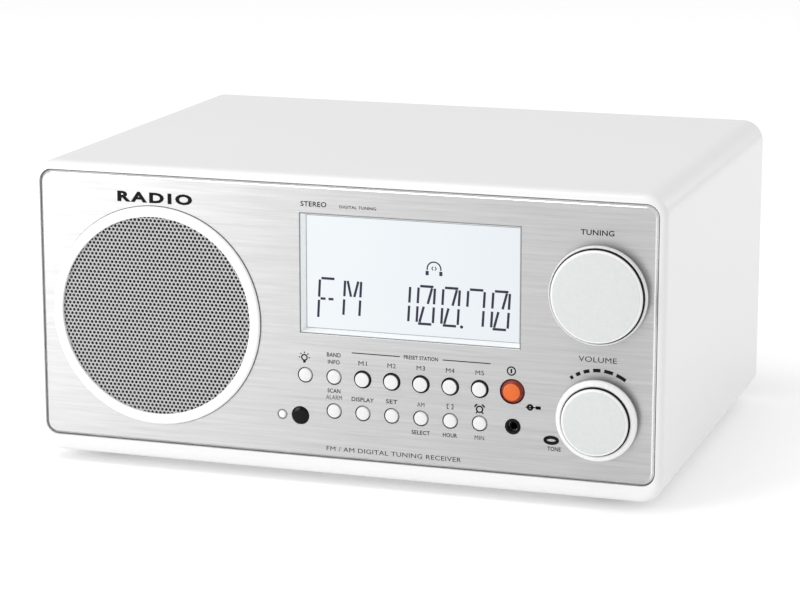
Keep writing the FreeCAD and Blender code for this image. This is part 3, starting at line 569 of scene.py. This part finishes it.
def punched_mesh(levels):
    """A plate with holes. Each level lists the same loops as (depth, points), from front to back."""
    points = []
    faces = []
    starts = []
    for level in levels:
        starts.append([])
        for depth, loop in level:
            starts[-1].append(len(points))
            points.extend((across, FACE + depth, up) for across, up in loop)
    for level, begins in ((levels[0], starts[0]), (levels[-1], starts[-1])):
        outlines = [[Vector((across, up, 0)) for across, up in loop] for _, loop in level]
        faces.extend(tuple(begins[0] + place for place in corners)
                     for corners in tessellate_polygon(outlines))
    for here, there in zip(starts, starts[1:]):
        for first, second, (_, loop) in zip(here, there, levels[0]):
            join_rings(faces, first, second, len(loop))
    return points, faces


# ---- panel

PANEL_CORNER = 4.6
PANEL_CHAMFER = 1.0
HOLE_EDGE = 0.12
WINDOW_GAP = 0.1
WINDOW_CORNER = 0.3
BUTTON_HOLE = 2.92
PRESET_HOLE = 3.3
SMALL_BUTTONS = ["light_button", "band_button"] + [f"function_{n}_button" for n in range(1, 7)]
PRESET_BUTTONS = [f"preset_{n}_button" for n in range(1, 6)]
PANEL_HOLES = {
    "grille_ring": 40.5, "tuning_knob": 7.5, "volume_knob": 7.5, "power_button": 4.6,
    "headphone_jack": 2.85, "remote_eye": 3.4, "indicator_lamp": 1.6,
    **dict.fromkeys(SMALL_BUTTONS, BUTTON_HOLE), **dict.fromkeys(PRESET_BUTTONS, PRESET_HOLE),
}


def make_panel():
    """The aluminium panel, with a polished chamfer round it and softened edges at its openings."""
    low, high = extent("front_panel")
    back = depth_range("front_panel")[1]
    window_low, window_high = extent("lcd_bezel")

    def level(outer_inset, outer_depth, hole_growth, hole_depth):
        """The panel's edge, its window and its round holes at one step of the thickness."""
        edge = rounded_loop((low.x, low.z), (high.x, high.z), PANEL_CORNER, outer_inset)
        window = rounded_loop((window_low.x - WINDOW_GAP, window_low.z - WINDOW_GAP),
                              (window_high.x + WINDOW_GAP, window_high.z + WINDOW_GAP),
                              WINDOW_CORNER, -hole_growth)
        loops = [(outer_depth, edge), (hole_depth, window)]
        for node, radius in PANEL_HOLES.items():
            segments = 144 if node == "grille_ring" else 48
            loops.append((hole_depth, round_loop(middle(node), radius + hole_growth, segments)))
        return loops

    points, faces = punched_mesh([
        level(PANEL_CHAMFER, 0.0, HOLE_EDGE, 0.0), level(0.0, PANEL_CHAMFER, 0.0, HOLE_EDGE),
        level(0.0, back, 0.0, back),
    ])
    panel = add_piece("brushed_panel", points, faces, "aluminium", "brushed_aluminium",
                      stands_for=["front_panel"])
    repaint(panel, "polished", lambda face: -0.9 < face.normal.y < -0.2 and is_near_rim(face, low, high))


def is_near_rim(face, low, high):
    """True for the panel's own edge, and not for its openings."""
    place = face.center / MM
    gap = min(place.x - low.x, high.x - place.x, place.z - low.z, high.z - place.z)
    return gap < 1.5 * PANEL_CHAMFER


# ---- speaker

HOLE_PITCH = 1.6
HOLE_RADIUS = 0.61
HOLE_MARGIN = 0.05
CELL_SIDES = 12


def make_grille():
    """A steel disc punched with staggered round holes, each in its own hexagonal cell."""
    centre_x, centre_z = middle("speaker_grille")
    rim = half_width("speaker_grille")
    front, back = depth_range("speaker_grille")
    row_step = HOLE_PITCH * math.sqrt(3) / 2
    corner_reach = HOLE_PITCH / math.sqrt(3)
    points = []
    index = {}
    faces = []
    edge_uses = {}

    def shared(across, up, depth):
        """One point, pulled in to the rim and shared between neighbouring cells."""
        length = math.hypot(across, up)
        if length > rim:
            across, up = across * rim / length, up * rim / length
        key = (round(across, 3), round(up, 3), depth)
        if key not in index:
            index[key] = len(points)
            points.append((centre_x + across, FACE + depth, centre_z + up))
        return index[key]

    def add_face(corners):
        corners = tuple(dict.fromkeys(corners))
        if len(corners) > 2:
            faces.append(corners)

    def add_band(one, other):
        """Faces between two closed rows of points."""
        for step in range(CELL_SIDES):
            after = (step + 1) % CELL_SIDES
            add_face((one[step], one[after], other[after], other[step]))

    def cell(across, up):
        """Both faces of one cell, and the wall of its hole where the hole is whole."""
        punched = math.hypot(across, up) <= rim - HOLE_RADIUS - HOLE_MARGIN
        border = []
        hole = []
        for step in range(CELL_SIDES):
            angle = math.tau * step / CELL_SIDES + math.pi / 6
            reach = corner_reach if step % 2 == 0 else HOLE_PITCH / 2
            border.append((across + math.cos(angle) * reach, up + math.sin(angle) * reach))
            hole.append((across + math.cos(angle) * HOLE_RADIUS, up + math.sin(angle) * HOLE_RADIUS))
        walls = []
        for depth in (front, back):
            outer = [shared(*spot, depth) for spot in border]
            for edge in map(frozenset, zip(outer, outer[1:] + outer[:1])):
                edge_uses[edge] = edge_uses.get(edge, 0) + 1
            if punched:
                walls.append([shared(*spot, depth) for spot in hole])
                add_band(outer, walls[-1])
            else:
                add_face(outer)
        if punched:
            add_band(*walls)

    rows = int(rim / row_step) + 1
    columns = int(rim / HOLE_PITCH) + 1
    for row in range(-rows, rows + 1):
        for column in range(-columns, columns + 1):
            across = (column + (row % 2) / 2) * HOLE_PITCH
            up = row * row_step
            if math.hypot(across, up) < rim + 0.3 * HOLE_PITCH:
                cell(across, up)
    depth_twin = {place: index.get((*key[:2], back)) for key, place in index.items() if key[2] == front}
    for edge, uses in edge_uses.items():
        if uses == 1 and len(edge) == 2 and all(place in depth_twin for place in edge):
            start, end = edge
            add_face((start, end, depth_twin[end], depth_twin[start]))
    return add_piece("perforated_grille", points, faces, "grille", "grille_steel",
                     stands_for=["speaker_grille"])


def make_speaker_ring():
    """The broad ring round the grille, with a soft outer edge and a rolled inner lip, and a thin dark ring
    beneath its edge as a painted contact shadow.
    """
    centre = middle("grille_ring")
    outer = half_width("grille_ring")
    front, back = depth_range("grille_ring")
    seat = half_width("speaker_grille") + 0.1
    inner = seat - 0.9
    tube = outer - 1.5
    grille_front = depth_range("speaker_grille")[0]
    turned("speaker_ring", [
        (inner, front + 0.3, 0.25), (inner + 0.9, front, 0.6), (outer - 0.6, front, 0.8),
        (outer, front + 0.75, 0.5), (outer - 0.1, -0.16, 0.1), (outer - 0.5, -0.05),
        (tube, -0.05), (tube, back), (seat, back), (seat, grille_front), (inner, grille_front, 0.15),
    ], centre, "ring", "white_plastic", segments=192, stands_for=["grille_ring"])
    # Painted shade: a thin dark ring under the outer edge stands in for the contact shadow on the panel.
    turned("ring_contact_shade", [
        (tube + 0.35, -0.14), (outer + 0.12, -0.14, 0.05), (outer + 0.16, -0.005),
        (tube + 0.35, -0.005),
    ], centre, "side", "black_plastic", segments=192)


def make_cloth():
    """Dust cloth stretched over a frame behind the grille, with a slight slack in its middle."""
    rim = half_width("grille_cloth")
    front, back = depth_range("grille_cloth")
    thickness = 0.3
    sag = (back - front) - thickness
    rings = 24
    parts = [ring / rings for ring in range(rings + 1)]
    face = [(rim * part, front + sag * (1 - part ** 2)) for part in parts]
    outline = face + [(radius, depth + thickness) for radius, depth in reversed(face)]
    cloth = turned("speaker_cloth", outline, middle("grille_cloth"), "cloth", "dust_cloth", segments=96,
                   stands_for=["grille_cloth"])


# ---- knobs and buttons

KNOB_GROOVE = 0.4
CAP_HIGHLIGHT_BAND = 0.75
SKIRT_SHADE_BAND = 0.16


def make_knob(node, body, cap_radius):
    """A rounded skirt with a raised cap set apart by a groove. The groove's faces are painted black as
    painted shade, the cap's rounded edge gets a painted highlight band of the lighter skirt plastic, and
    the outer wall is painted darker as a painted shadow outline.
    """
    centre = middle(node)
    skirt = half_width(node)
    front, back = depth_range(node)
    bore = half_width("tuning_shaft") + 0.02
    bore_end = depth_range("tuning_shaft")[0]
    floor = front + 3.1
    groove_end = cap_radius + KNOB_GROOVE
    knob = turned(node + "_shell", [
        (0, front), (cap_radius * 0.55, front + 0.08, 1.5), (cap_radius - 0.85, front + 0.2, 0.5),
        (cap_radius, front + 0.8, 0.5), (cap_radius, floor),
        (groove_end - 0.02, floor), (groove_end + 0.02, front + 2.3, 0.15),
        (cap_radius + 1.0, front + 2.1, 0.3), (skirt - 0.35, front + 3.2, 0.5), (skirt, front + 4.1, 0.5),
        (skirt - 0.25, back - 0.7, 0.3), (skirt - 1.2, back), (bore, back), (bore, bore_end),
        (0, bore_end),
    ], centre, "cap", "silver_plastic", segments=192, body=body, stands_for=[node])
    # Painted highlight: the cap's rounded edge is given the lighter skirt plastic for the light it catches.
    repaint(knob, "skirt", lambda face: is_beyond(face, centre, cap_radius - CAP_HIGHLIGHT_BAND))
    # Painted shade: the groove's faces are painted black for the shade that falls in it.
    repaint(knob, "black", lambda face: in_shaded_groove(face, centre, cap_radius, front))
    # Painted shade: the skirt's outer wall is painted dark grey as the thin shadow outline round the knob.
    repaint(knob, "rim", lambda face: is_beyond(face, centre, skirt - SKIRT_SHADE_BAND))


def reach_from(centre, face):
    """How far a face's middle is from an (x, z) centre."""
    return math.hypot(face.center.x / MM - centre[0], face.center.z / MM - centre[1])


def is_beyond(face, centre, radius):
    """True for the faces outside a radius."""
    return reach_from(centre, face) > radius + 0.01


def in_shaded_groove(face, centre, cap_radius, front):
    """True for the faces of the slot between a knob's cap and its skirt, which are painted black as painted
    shade.
    """
    radius = reach_from(centre, face)
    depth = face.center.y / MM - FACE
    return cap_radius - 0.05 < radius < cap_radius + KNOB_GROOVE and front + 1.2 < depth < front + 3.5


def make_button(node, face_choice, side_shade_choice, slot, face_radius):
    """A domed cap on a flanged body whose stem enters the switch."""
    centre = middle(node)
    flange = half_width(node)
    front, back = depth_range(node)
    body_radius = flange - 0.9
    flange_front = depth_range("front_chassis")[1] + 0.3
    flange_back = flange_front + 0.8
    stem = 1.2
    button = turned(node + "_cap", [
        (0, front), (face_radius * 0.6, front + 0.06, 0.8), (face_radius, front + 0.22, 0.28),
        (body_radius, 0.4), (body_radius, flange_front), (flange, flange_front),
        (flange, flange_back), (stem, flange_back), (stem, back), (0, back),
    ], centre, face_choice, slot, segments=64, body=node, stands_for=[node])
    # Past the face, the cap's side is painted in a second plastic: painted shade where it is darker, on the
    # presets and the power button.
    repaint(button, side_shade_choice, lambda face: is_beyond(face, centre, face_radius))


def make_controls():
    make_knob("tuning_knob", "tuning_control", cap_radius=16.8)
    make_knob("volume_knob", "volume_control", cap_radius=12.3)
    for node in SMALL_BUTTONS:
        make_button(node, "white", "white", "white_plastic", face_radius=2.4)
    for node in PRESET_BUTTONS:
        # The presets' dark sides are painted shade.
        make_button(node, "white", "side", "white_plastic", face_radius=2.65)
    # The power button's dark red side is painted shade.
    make_button("power_button", "orange", "red", "orange_plastic", face_radius=3.15)


JACK_BORE = 1.8


def make_contact(name, centre, start, end):
    """A plated ring in the bore of a jack."""
    inner = JACK_BORE - 0.22
    outer = JACK_BORE - 0.02
    turned(name, [(inner, start), (outer, start), (outer, end), (inner, end)], centre, "nickel", "nickel")


def make_front_fittings():
    """The headphone socket, the remote-control eye and the indicator lamp, with a dark ring of painted
    shade round the lamp.
    """
    centre = middle("headphone_jack")
    front, back = depth_range("headphone_jack")
    radius = 2.75
    bore = JACK_BORE
    flange = half_width("headphone_jack")
    shoulder = depth_range("front_chassis")[1]
    turned("headphone_socket", [
        (bore, front + 0.2, 0.15), (bore + 0.25, front, 0.1), (radius - 0.2, front, 0.2),
        (radius, front + 0.35, 0.2), (radius, shoulder), (flange, shoulder), (flange, back), (0, back),
        (0, back - 1.5), (bore, back - 1.5),
    ], centre, "socket", "black_plastic", segments=64, stands_for=["headphone_jack"])
    make_contact("socket_contact", centre, 1.6, 4.2)
    turned("eye_window", [
        (0, -0.5), (1.6, -0.44, 0.7), (2.7, -0.25, 0.6), (3.3, 0.1, 0.2), (3.3, back), (0, back),
    ], middle("remote_eye"), "smoked", "smoked_plastic", segments=64, stands_for=["remote_eye"])
    lamp_back = depth_range("indicator_lamp")[1]
    turned("lamp_lens", [
        (0, -0.6), (0.8, -0.52, 0.4), (1.3, -0.3, 0.3), (1.5, 0.15, 0.2), (1.5, lamp_back), (0, lamp_back),
    ], middle("indicator_lamp"), "lamp", "white_plastic", stands_for=["indicator_lamp"])
    # Painted shade: a dark grey ring round the lamp stands in for the shadow of its gap in the panel.
    turned("lamp_gap_shade_ring", [
        (1.55, -0.12, 0.05), (1.95, -0.12, 0.08), (2.0, -0.005), (1.55, -0.005),
    ], middle("indicator_lamp"), "rim", "black_plastic")


# ---- flat marks

BOLD = 0.16


class Marks:
    """Thin raised shapes on one flat face, gathered into one mesh."""

    def __init__(self, depth, thick, facing=-1):
        self.depth = depth
        self.thick = thick
        self.facing = facing
        self.points = []
        self.faces = []

    def lift(self, across, up, height):
        """A point on the face, or raised from it by a share of the thickness."""
        return (across, FACE + self.depth + self.facing * self.thick * height, up)

    def ribbon(self, path, width, closed=False):
        """A band of even width along a path of (x, z) points."""
        count = len(path)
        first = len(self.points)
        spots = [Vector(spot) for spot in path]
        for number, spot in enumerate(spots):
            before = spots[number - 1] if closed or number > 0 else spot
            after = spots[(number + 1) % count] if closed or number < count - 1 else spot
            heading = ((spot - before).normalized() + (after - spot).normalized()).normalized()
            edge = (spot - before) if (spot - before).length > 0 else (after - spot)
            stretch = 1 / max(0.5, abs(heading.dot(edge.normalized())))
            side = Vector((-heading.y, heading.x)) * width / 2 * stretch
            for offset in (side, -side):
                for height in (0, 1):
                    self.points.append(self.lift(*(spot + offset), height))
        runs = count if closed else count - 1
        for number in range(runs):
            here = first + 4 * number
            there = first + 4 * ((number + 1) % count)
            for low, high in ((0, 1), (1, 3), (3, 2), (2, 0)):
                self.faces.append((here + low, here + high, there + high, there + low))
        if not closed:
            for end in (first, first + 4 * (count - 1)):
                self.faces.append((end, end + 1, end + 3, end + 2))

    def patch(self, outline):
        """A filled convex shape."""
        first = len(self.points)
        count = len(outline)
        for height in (0, 1):
            self.points.extend(self.lift(across, up, height) for across, up in outline)
        for start in (first, first + count):
            self.faces.append(tuple(range(start, start + count)))
        join_rings(self.faces, first, first + count, count)

    def block(self, start_x, end_x, start_z, end_z):
        self.patch([(start_x, start_z), (end_x, start_z), (end_x, end_z), (start_x, end_z)])

    def ring(self, across, up, radius, width, squeeze=1.0):
        """A ring, or an oval one when it is squeezed in height."""
        path = [(x, up + (z - up) * squeeze) for x, z in round_loop((across, up), radius, 40)]
        self.ribbon(path, width, closed=True)

    def arc(self, across, up, radius, width, start, end, segments):
        """Part of a ring between two angles in degrees."""
        turns = [math.radians(start + (end - start) * n / segments) for n in range(segments + 1)]
        self.ribbon([(across + radius * math.cos(turn), up + radius * math.sin(turn))
                     for turn in turns], width)

    def lettering(self, words, across, up, height, width, weight=BOLD, spacing=1.05):
        """Words centred on a point, fitted to a height and a width.

        Thickening spoils the letter M, so words that have one stay thin.
        """
        curve = bpy.data.curves.new("lettering", "FONT")
        curve.body = words
        curve.size = 10.0
        curve.extrude = 0.5
        curve.offset = 0.0 if "M" in words else weight
        curve.resolution_u = 3
        curve.space_character = spacing
        holder = add_object("lettering", curve)
        bpy.context.view_layer.update()
        mesh = bpy.data.meshes.new_from_object(holder.evaluated_get(bpy.context.evaluated_depsgraph_get()))
        spots = [vertex.co.copy() for vertex in mesh.vertices]
        low_x, high_x = min(s.x for s in spots), max(s.x for s in spots)
        low_y, high_y = min(s.y for s in spots), max(s.y for s in spots)
        first = len(self.points)
        # The letters are extruded from -0.5 to 0.5, which becomes a height from 0 to 1.
        for spot in spots:
            away = ((spot.x - low_x) / (high_x - low_x) - 0.5) * width * -self.facing
            rise = ((spot.y - low_y) / (high_y - low_y) - 0.5) * height
            self.points.append(self.lift(across + away, up + rise, 0.5 + spot.z))
        self.faces.extend(tuple(first + place for place in face.vertices) for face in mesh.polygons)
        bpy.data.objects.remove(holder)
        bpy.data.curves.remove(curve)
        bpy.data.meshes.remove(mesh)

    def finish(self, name, choice, slot):
        return add_piece(name, self.points, self.faces, choice, slot)


LEGEND_THICK = 0.02
LABEL_HEIGHT = 1.6


def print_panel():
    """The panel's printed words, lines and symbols."""
    marks = Marks(0.0, LEGEND_THICK)
    speaker_x, _ = middle("speaker_grille")
    knob_x, tuning_z = middle("tuning_knob")
    volume_x, volume_z = middle("volume_knob")
    print_volume_scale(marks, volume_x, volume_z + 0.6)
    marks.lettering("TUNING", knob_x - 1.4, tuning_z + 21.9, 2.0, 12.2)
    marks.lettering("VOLUME", volume_x - 0.6, volume_z + 21.6, 2.0, 14.0)
    marks.lettering("RADIO", speaker_x + 0.2, 104.6, 4.1, 30.0, weight=3 * BOLD, spacing=1.3)
    marks.lettering("STEREO", -9.6, 106.0, 1.9, 10.0)
    marks.lettering("DIGITAL TUNING", 7.4, 105.6, 1.1, 14.0)
    marks.lettering("FM / AM DIGITAL TUNING RECEIVER", 20.9, 14.5, 1.7, 52.0)
    print_button_labels(marks)
    print_symbols(marks)
    marks.finish("panel_legends", "print", "black_plastic")


def print_volume_scale(marks, across, up):
    """Six dashes above the volume knob that grow in length from left to right."""
    radius = 17.1
    width = 1.3
    angle = 125.9
    for number in range(6):
        half_length = 1.9 + 0.9 * number
        marks.arc(across, up, radius, width, angle + half_length, angle - half_length, 5)
        angle -= 9.2 + 1.8 * number


def print_button_labels(marks):
    """Words above and below the push buttons, and the bracket over the presets."""
    for number in range(1, 6):
        across, up = middle(f"preset_{number}_button")
        marks.lettering(f"M{number}", across, up + 6.0, 1.7, 3.2)
    first_x, preset_z = middle("preset_1_button")
    last_x, _ = middle("preset_5_button")
    bracket_z = preset_z + 9.7
    marks.ribbon([(first_x - 4.2, bracket_z), (first_x + 14.3, bracket_z)], 0.35)
    marks.ribbon([(last_x - 14.0, bracket_z), (last_x + 4.0, bracket_z)], 0.35)
    marks.lettering("PRESET STATION", (first_x + last_x) / 2, bracket_z, 1.5, 13.0)
    labels = [("band", 8.4, "BAND", 5.4), ("band", 5.7, "INFO", 4.6),
              ("function_1", 7.7, "SCAN", 5.0), ("function_1", 5.2, "ALARM", 6.2),
              ("function_2", 5.2, "DISPLAY", 8.6), ("function_3", 5.4, "SET", 4.4),
              ("function_4", 5.2, "AM", 2.8), ("function_4", -5.4, "SELECT", 7.0),
              ("function_5", -5.4, "HOUR", 5.4), ("function_6", -5.4, "MIN", 3.6)]
    for button, rise, words, width in labels:
        across, up = middle(button + "_button")
        marks.lettering(words, across, up + rise, LABEL_HEIGHT, width)


def print_symbols(marks):
    """A lamp, a standby mark, an alarm clock, a pair of brackets, a plug and a tone mark."""
    across, up = middle("light_button")
    marks.ring(across - 0.3, up + 6.6, 1.05, 0.5)
    marks.block(across - 0.8, across + 0.2, up + 4.6, up + 5.5)
    for turn in range(0, 181, 45):
        angle = math.radians(turn)
        reach = Vector((math.cos(angle), math.sin(angle)))
        start = Vector((across - 0.3, up + 6.6))
        marks.ribbon([start + reach * 1.6, start + reach * 2.2], 0.42)
    across, up = middle("power_button")
    marks.ring(across - 0.4, up + 7.6, 1.5, 0.5)
    marks.ribbon([(across - 0.4, up + 6.8), (across - 0.4, up + 8.4)], 0.65)
    marks.ribbon([(across + 5.0, up - 5.3), (across + 10.4, up - 5.3)], 0.45)
    marks.ring(across + 6.7, up - 5.3, 0.85, 0.8)
    marks.block(across + 8.8, across + 10.7, up - 5.9, up - 4.7)
    across, up = middle("function_6_button")
    marks.ring(across, up + 5.3, 1.15, 0.55)
    for side in (-1, 1):
        marks.arc(across, up + 5.3, 2.0, 0.6, 90 - side * 25, 90 - side * 68, 6)
        marks.ribbon([(across + side * 0.9, up + 4.3), (across + side * 1.4, up + 3.7)], 0.5)
    across, up = middle("function_5_button")
    for side in (-1, 1):
        marks.ribbon([(across + side * 0.5, up + 6.2), (across + side * 1.1, up + 6.2),
                      (across + side * 1.1, up + 4.6), (across + side * 0.5, up + 4.6)], 0.3)
    knob_x, knob_z = middle("volume_knob")
    marks.ring(knob_x - 17.3, knob_z - 9.5, 2.3, 1.25, squeeze=0.48)
    marks.lettering("TONE", knob_x - 16.2, knob_z - 12.7, LABEL_HEIGHT, 5.0)


# ---- display

CELL_WIDTH = 6.2
CELL_HEIGHT = 14.0
SEGMENT_WIDTH = 0.92
SEGMENT_GAP = 0.62
SLANT = 0.13

SEGMENTS = {
    "top": ((-0.5, 1.0), (0.5, 1.0)),
    "bottom": ((-0.5, 0.0), (0.5, 0.0)),
    "upper_left": ((-0.5, 0.5), (-0.5, 1.0)),
    "lower_left": ((-0.5, 0.0), (-0.5, 0.5)),
    "upper_right": ((0.5, 0.5), (0.5, 1.0)),
    "lower_right": ((0.5, 0.0), (0.5, 0.5)),
    "middle_left": ((-0.5, 0.5), (0.0, 0.5)),
    "middle_right": ((0.0, 0.5), (0.5, 0.5)),
    "left_slope": ((-0.36, 1.0), (-0.06, 0.5)),
    "right_slope": ((0.1, 0.5), (0.34, 1.0)),
    "low_slope": ((-0.34, 0.0), (-0.1, 0.5)),
}
SIDES = ["upper_left", "lower_left", "upper_right", "lower_right"]
CHARACTERS = {
    "F": ["top", "upper_left", "lower_left", "middle_left", "middle_right"],
    "M": [*SIDES, "left_slope", "right_slope"],
    "0": [*SIDES, "top", "bottom", "right_slope", "low_slope"],
    "1": ["upper_right", "lower_right"],
    "7": ["top", "upper_left", "upper_right", "lower_right"],
}


def draw_character(marks, character, across, base, height=CELL_HEIGHT):
    """Light the segments of one character whose cell is centred on a place."""
    for name in CHARACTERS[character]:
        start, end = (Vector((across + (x + z * SLANT) * CELL_WIDTH, base + z * height))
                      for x, z in SEGMENTS[name])
        run = (end - start).normalized()
        gap = run * SEGMENT_WIDTH * SEGMENT_GAP
        marks.ribbon([start + gap, end - gap], SEGMENT_WIDTH)


def make_bezel():
    """The display's sloping frame, grey at its narrow front rim and where it meets the glass."""
    low, high = extent("lcd_bezel")
    front, back = depth_range("lcd_bezel")
    lip = back - 0.25
    outline = [(0, front), (0.3, front, 0.05), (1.2, lip), (1.4, lip), (1.4, back), (0, back)]
    points, faces = framed_mesh(outline, (low.x, low.z), (high.x, high.z), 0.5)
    bezel = add_piece("display_bezel", points, faces, "bezel", "white_plastic", stands_for=["lcd_bezel"])
    repaint(bezel, "rim", lambda face: face.normal.y < -0.75)


def make_display():
    """The segments that show a band and a frequency, and a small headphone sign."""
    marks = Marks(depth_range("lcd_glass")[0], 0.03)
    base = 63.4
    first_digit = 22.2
    digit_step = 9.4
    draw_character(marks, "F", -6.4, base - 0.9, CELL_HEIGHT + 1.3)
    draw_character(marks, "M", 3.4, base + 0.6)
    for number, character in enumerate("10070"):
        draw_character(marks, character, first_digit + digit_step * number, base)
    marks.patch(round_loop((45.6, base - 0.1), 0.6, 20))
    sign_x = 35.1
    sign_z = 84.0
    marks.arc(sign_x, sign_z, 2.6, 0.5, -10, 190, 16)
    for side in (-1, 1):
        marks.block(sign_x + side * 3.2, sign_x + side * 2.0, sign_z - 2.4, sign_z - 0.8)
        marks.ribbon([(sign_x + side * 0.35, sign_z + 0.9), (sign_x + side * 0.85, sign_z + 0.2),
                      (sign_x + side * 0.35, sign_z - 0.5)], 0.35)
    marks.finish("display_segments", "segment", "black_plastic")


# ---- rear and screws

HEAD_RADIUS = 2.8
SHANK_RADIUS = 1.5
HEAD_THICK = 1.6
RECESS_REACH = 1.65
RECESS_HALF_WIDTH = 0.36
SCREW_SEGMENTS = 64


def recess_radius(angle):
    """How far a cross recess reaches from its middle at an angle."""
    from_arm = abs((math.degrees(angle) + 45) % 90 - 45)
    lean = math.radians(max(from_arm, 0.01))
    return min(RECESS_REACH / math.cos(lean), RECESS_HALF_WIDTH / math.sin(lean))


def add_screw(points, faces, seat, along, top, shank_length):
    """A pan-head screw whose head rises from its seat to its top along a direction, with a cross recess."""
    across = Vector((1, 0, 0))
    up = along.cross(across)
    rings = []

    def add_ring(radius, height):
        """A ring of points; without a radius it follows the recess."""
        first = len(points)
        for step in range(SCREW_SEGMENTS):
            angle = math.tau * step / SCREW_SEGMENTS
            reach = recess_radius(angle) if radius is None else radius
            points.append(seat + across * reach * math.cos(angle) + up * reach * math.sin(angle)
                          + along * height)
        rings.append(first)

    edge = HEAD_RADIUS
    for radius, height in ((SHANK_RADIUS, -shank_length), (SHANK_RADIUS, 0), (edge, 0),
                           (edge, top * 0.45), (edge - 0.18, top * 0.7), (edge - 0.55, top * 0.9),
                           (edge - 1.0, top), (None, top), (None, top * 0.45)):
        add_ring(radius, height)
    for first, second in zip(rings, rings[1:]):
        join_rings(faces, first, second, SCREW_SEGMENTS)
    for ring in (rings[0], rings[-1]):
        faces.append(tuple(ring + step for step in range(SCREW_SEGMENTS)))


def make_screws():
    """The screws of the rear cover, the speaker and the feet."""
    points = []
    faces = []
    backwards = Vector((0, 1, 0))
    downwards = Vector((0, 0, -1))
    low, high = extent("rear_cover")
    edge = 2.7
    side = 13.7
    for x in (low.x + side, (low.x + high.x) / 2, high.x - side):
        for z in (low.z + edge, high.z - edge):
            add_screw(points, faces, Vector((x, high.y, z)), backwards, HEAD_THICK, high.y - low.y)
    speaker_x, speaker_z = middle("speaker_basket")
    beside = 2.4
    reach = (half_width("speaker_basket") + beside) * math.sqrt(0.5)
    chassis_back = extent("front_chassis")[1].y
    collar = 2.5
    for x in (speaker_x - reach, speaker_x + reach):
        for z in (speaker_z - reach, speaker_z + reach):
            add_screw(points, faces, Vector((x, chassis_back + collar, z)), backwards, HEAD_THICK, collar)
    low, high = extent("feet")
    foot_radius = 8.0
    foot_seat = 2.0
    foot_head = 1.4
    for x in (low.x + foot_radius, high.x - foot_radius):
        for y in (low.y + foot_radius, high.y - foot_radius):
            add_screw(points, faces, Vector((x, y, foot_seat)), downwards, foot_head, high.z - foot_seat)
    add_piece("cross_head_screws", points, faces, "screw", "nickel", stands_for=["screws"])


SOCKET_INSET = 5
REAR_TEXT = 2.1


def audio_socket_places():
    """The centres of the two audio sockets, as (x, z)."""
    low, high = extent("audio_sockets")
    up = (low.z + high.z) / 2
    return (low.x + SOCKET_INSET, up), (high.x - SOCKET_INSET, up)


def print_rear():
    """The rear cover's socket names and the outlines that gather the sockets."""
    marks = Marks(depth_range("rear_cover")[1], 0.03, facing=1)

    def outline(low, high):
        marks.ribbon(rounded_loop(low, high, 2.0), 0.35, closed=True)

    for (across, up), words, width in zip(audio_socket_places(), ("AUX IN", "REC OUT"), (9.0, 10.5)):
        marks.lettering(words, across, up + 9.0, REAR_TEXT, width)
    low, high = extent("audio_sockets")
    outline((low.x - 6, low.z - 3.5), (high.x + 6, high.z + 7.5))
    low, high = extent("mains_inlet")
    marks.lettering("AC INLET", (low.x + high.x) / 2, high.z + 4.0, REAR_TEXT, 12.0)
    outline((low.x - 3, low.z - 3), (high.x + 3, high.z + 7))
    across, up = middle("aerial_socket")
    marks.lettering("FM AERIAL", across, up + 11.5, REAR_TEXT, 14.0)
    outline((across - 10.5, up - 10), (across + 10.5, up + 15))
    marks.finish("rear_legends", "rear_print", "white_plastic")


def make_socket_contacts():
    """A plated ring in the mouth of each audio socket at the back."""
    mouth = depth_range("audio_sockets")[1]
    for number, centre in enumerate(audio_socket_places(), start=1):
        make_contact(f"rear_contact_{number}", centre, mouth - 4.2, mouth - 1.4)


add_camera()
add_studio()
dress_carried_over()
make_grille()
make_speaker_ring()
make_cloth()
make_panel()
make_controls()
make_front_fittings()
make_bezel()
make_display()
print_panel()
make_screws()
make_socket_contacts()
print_rear()
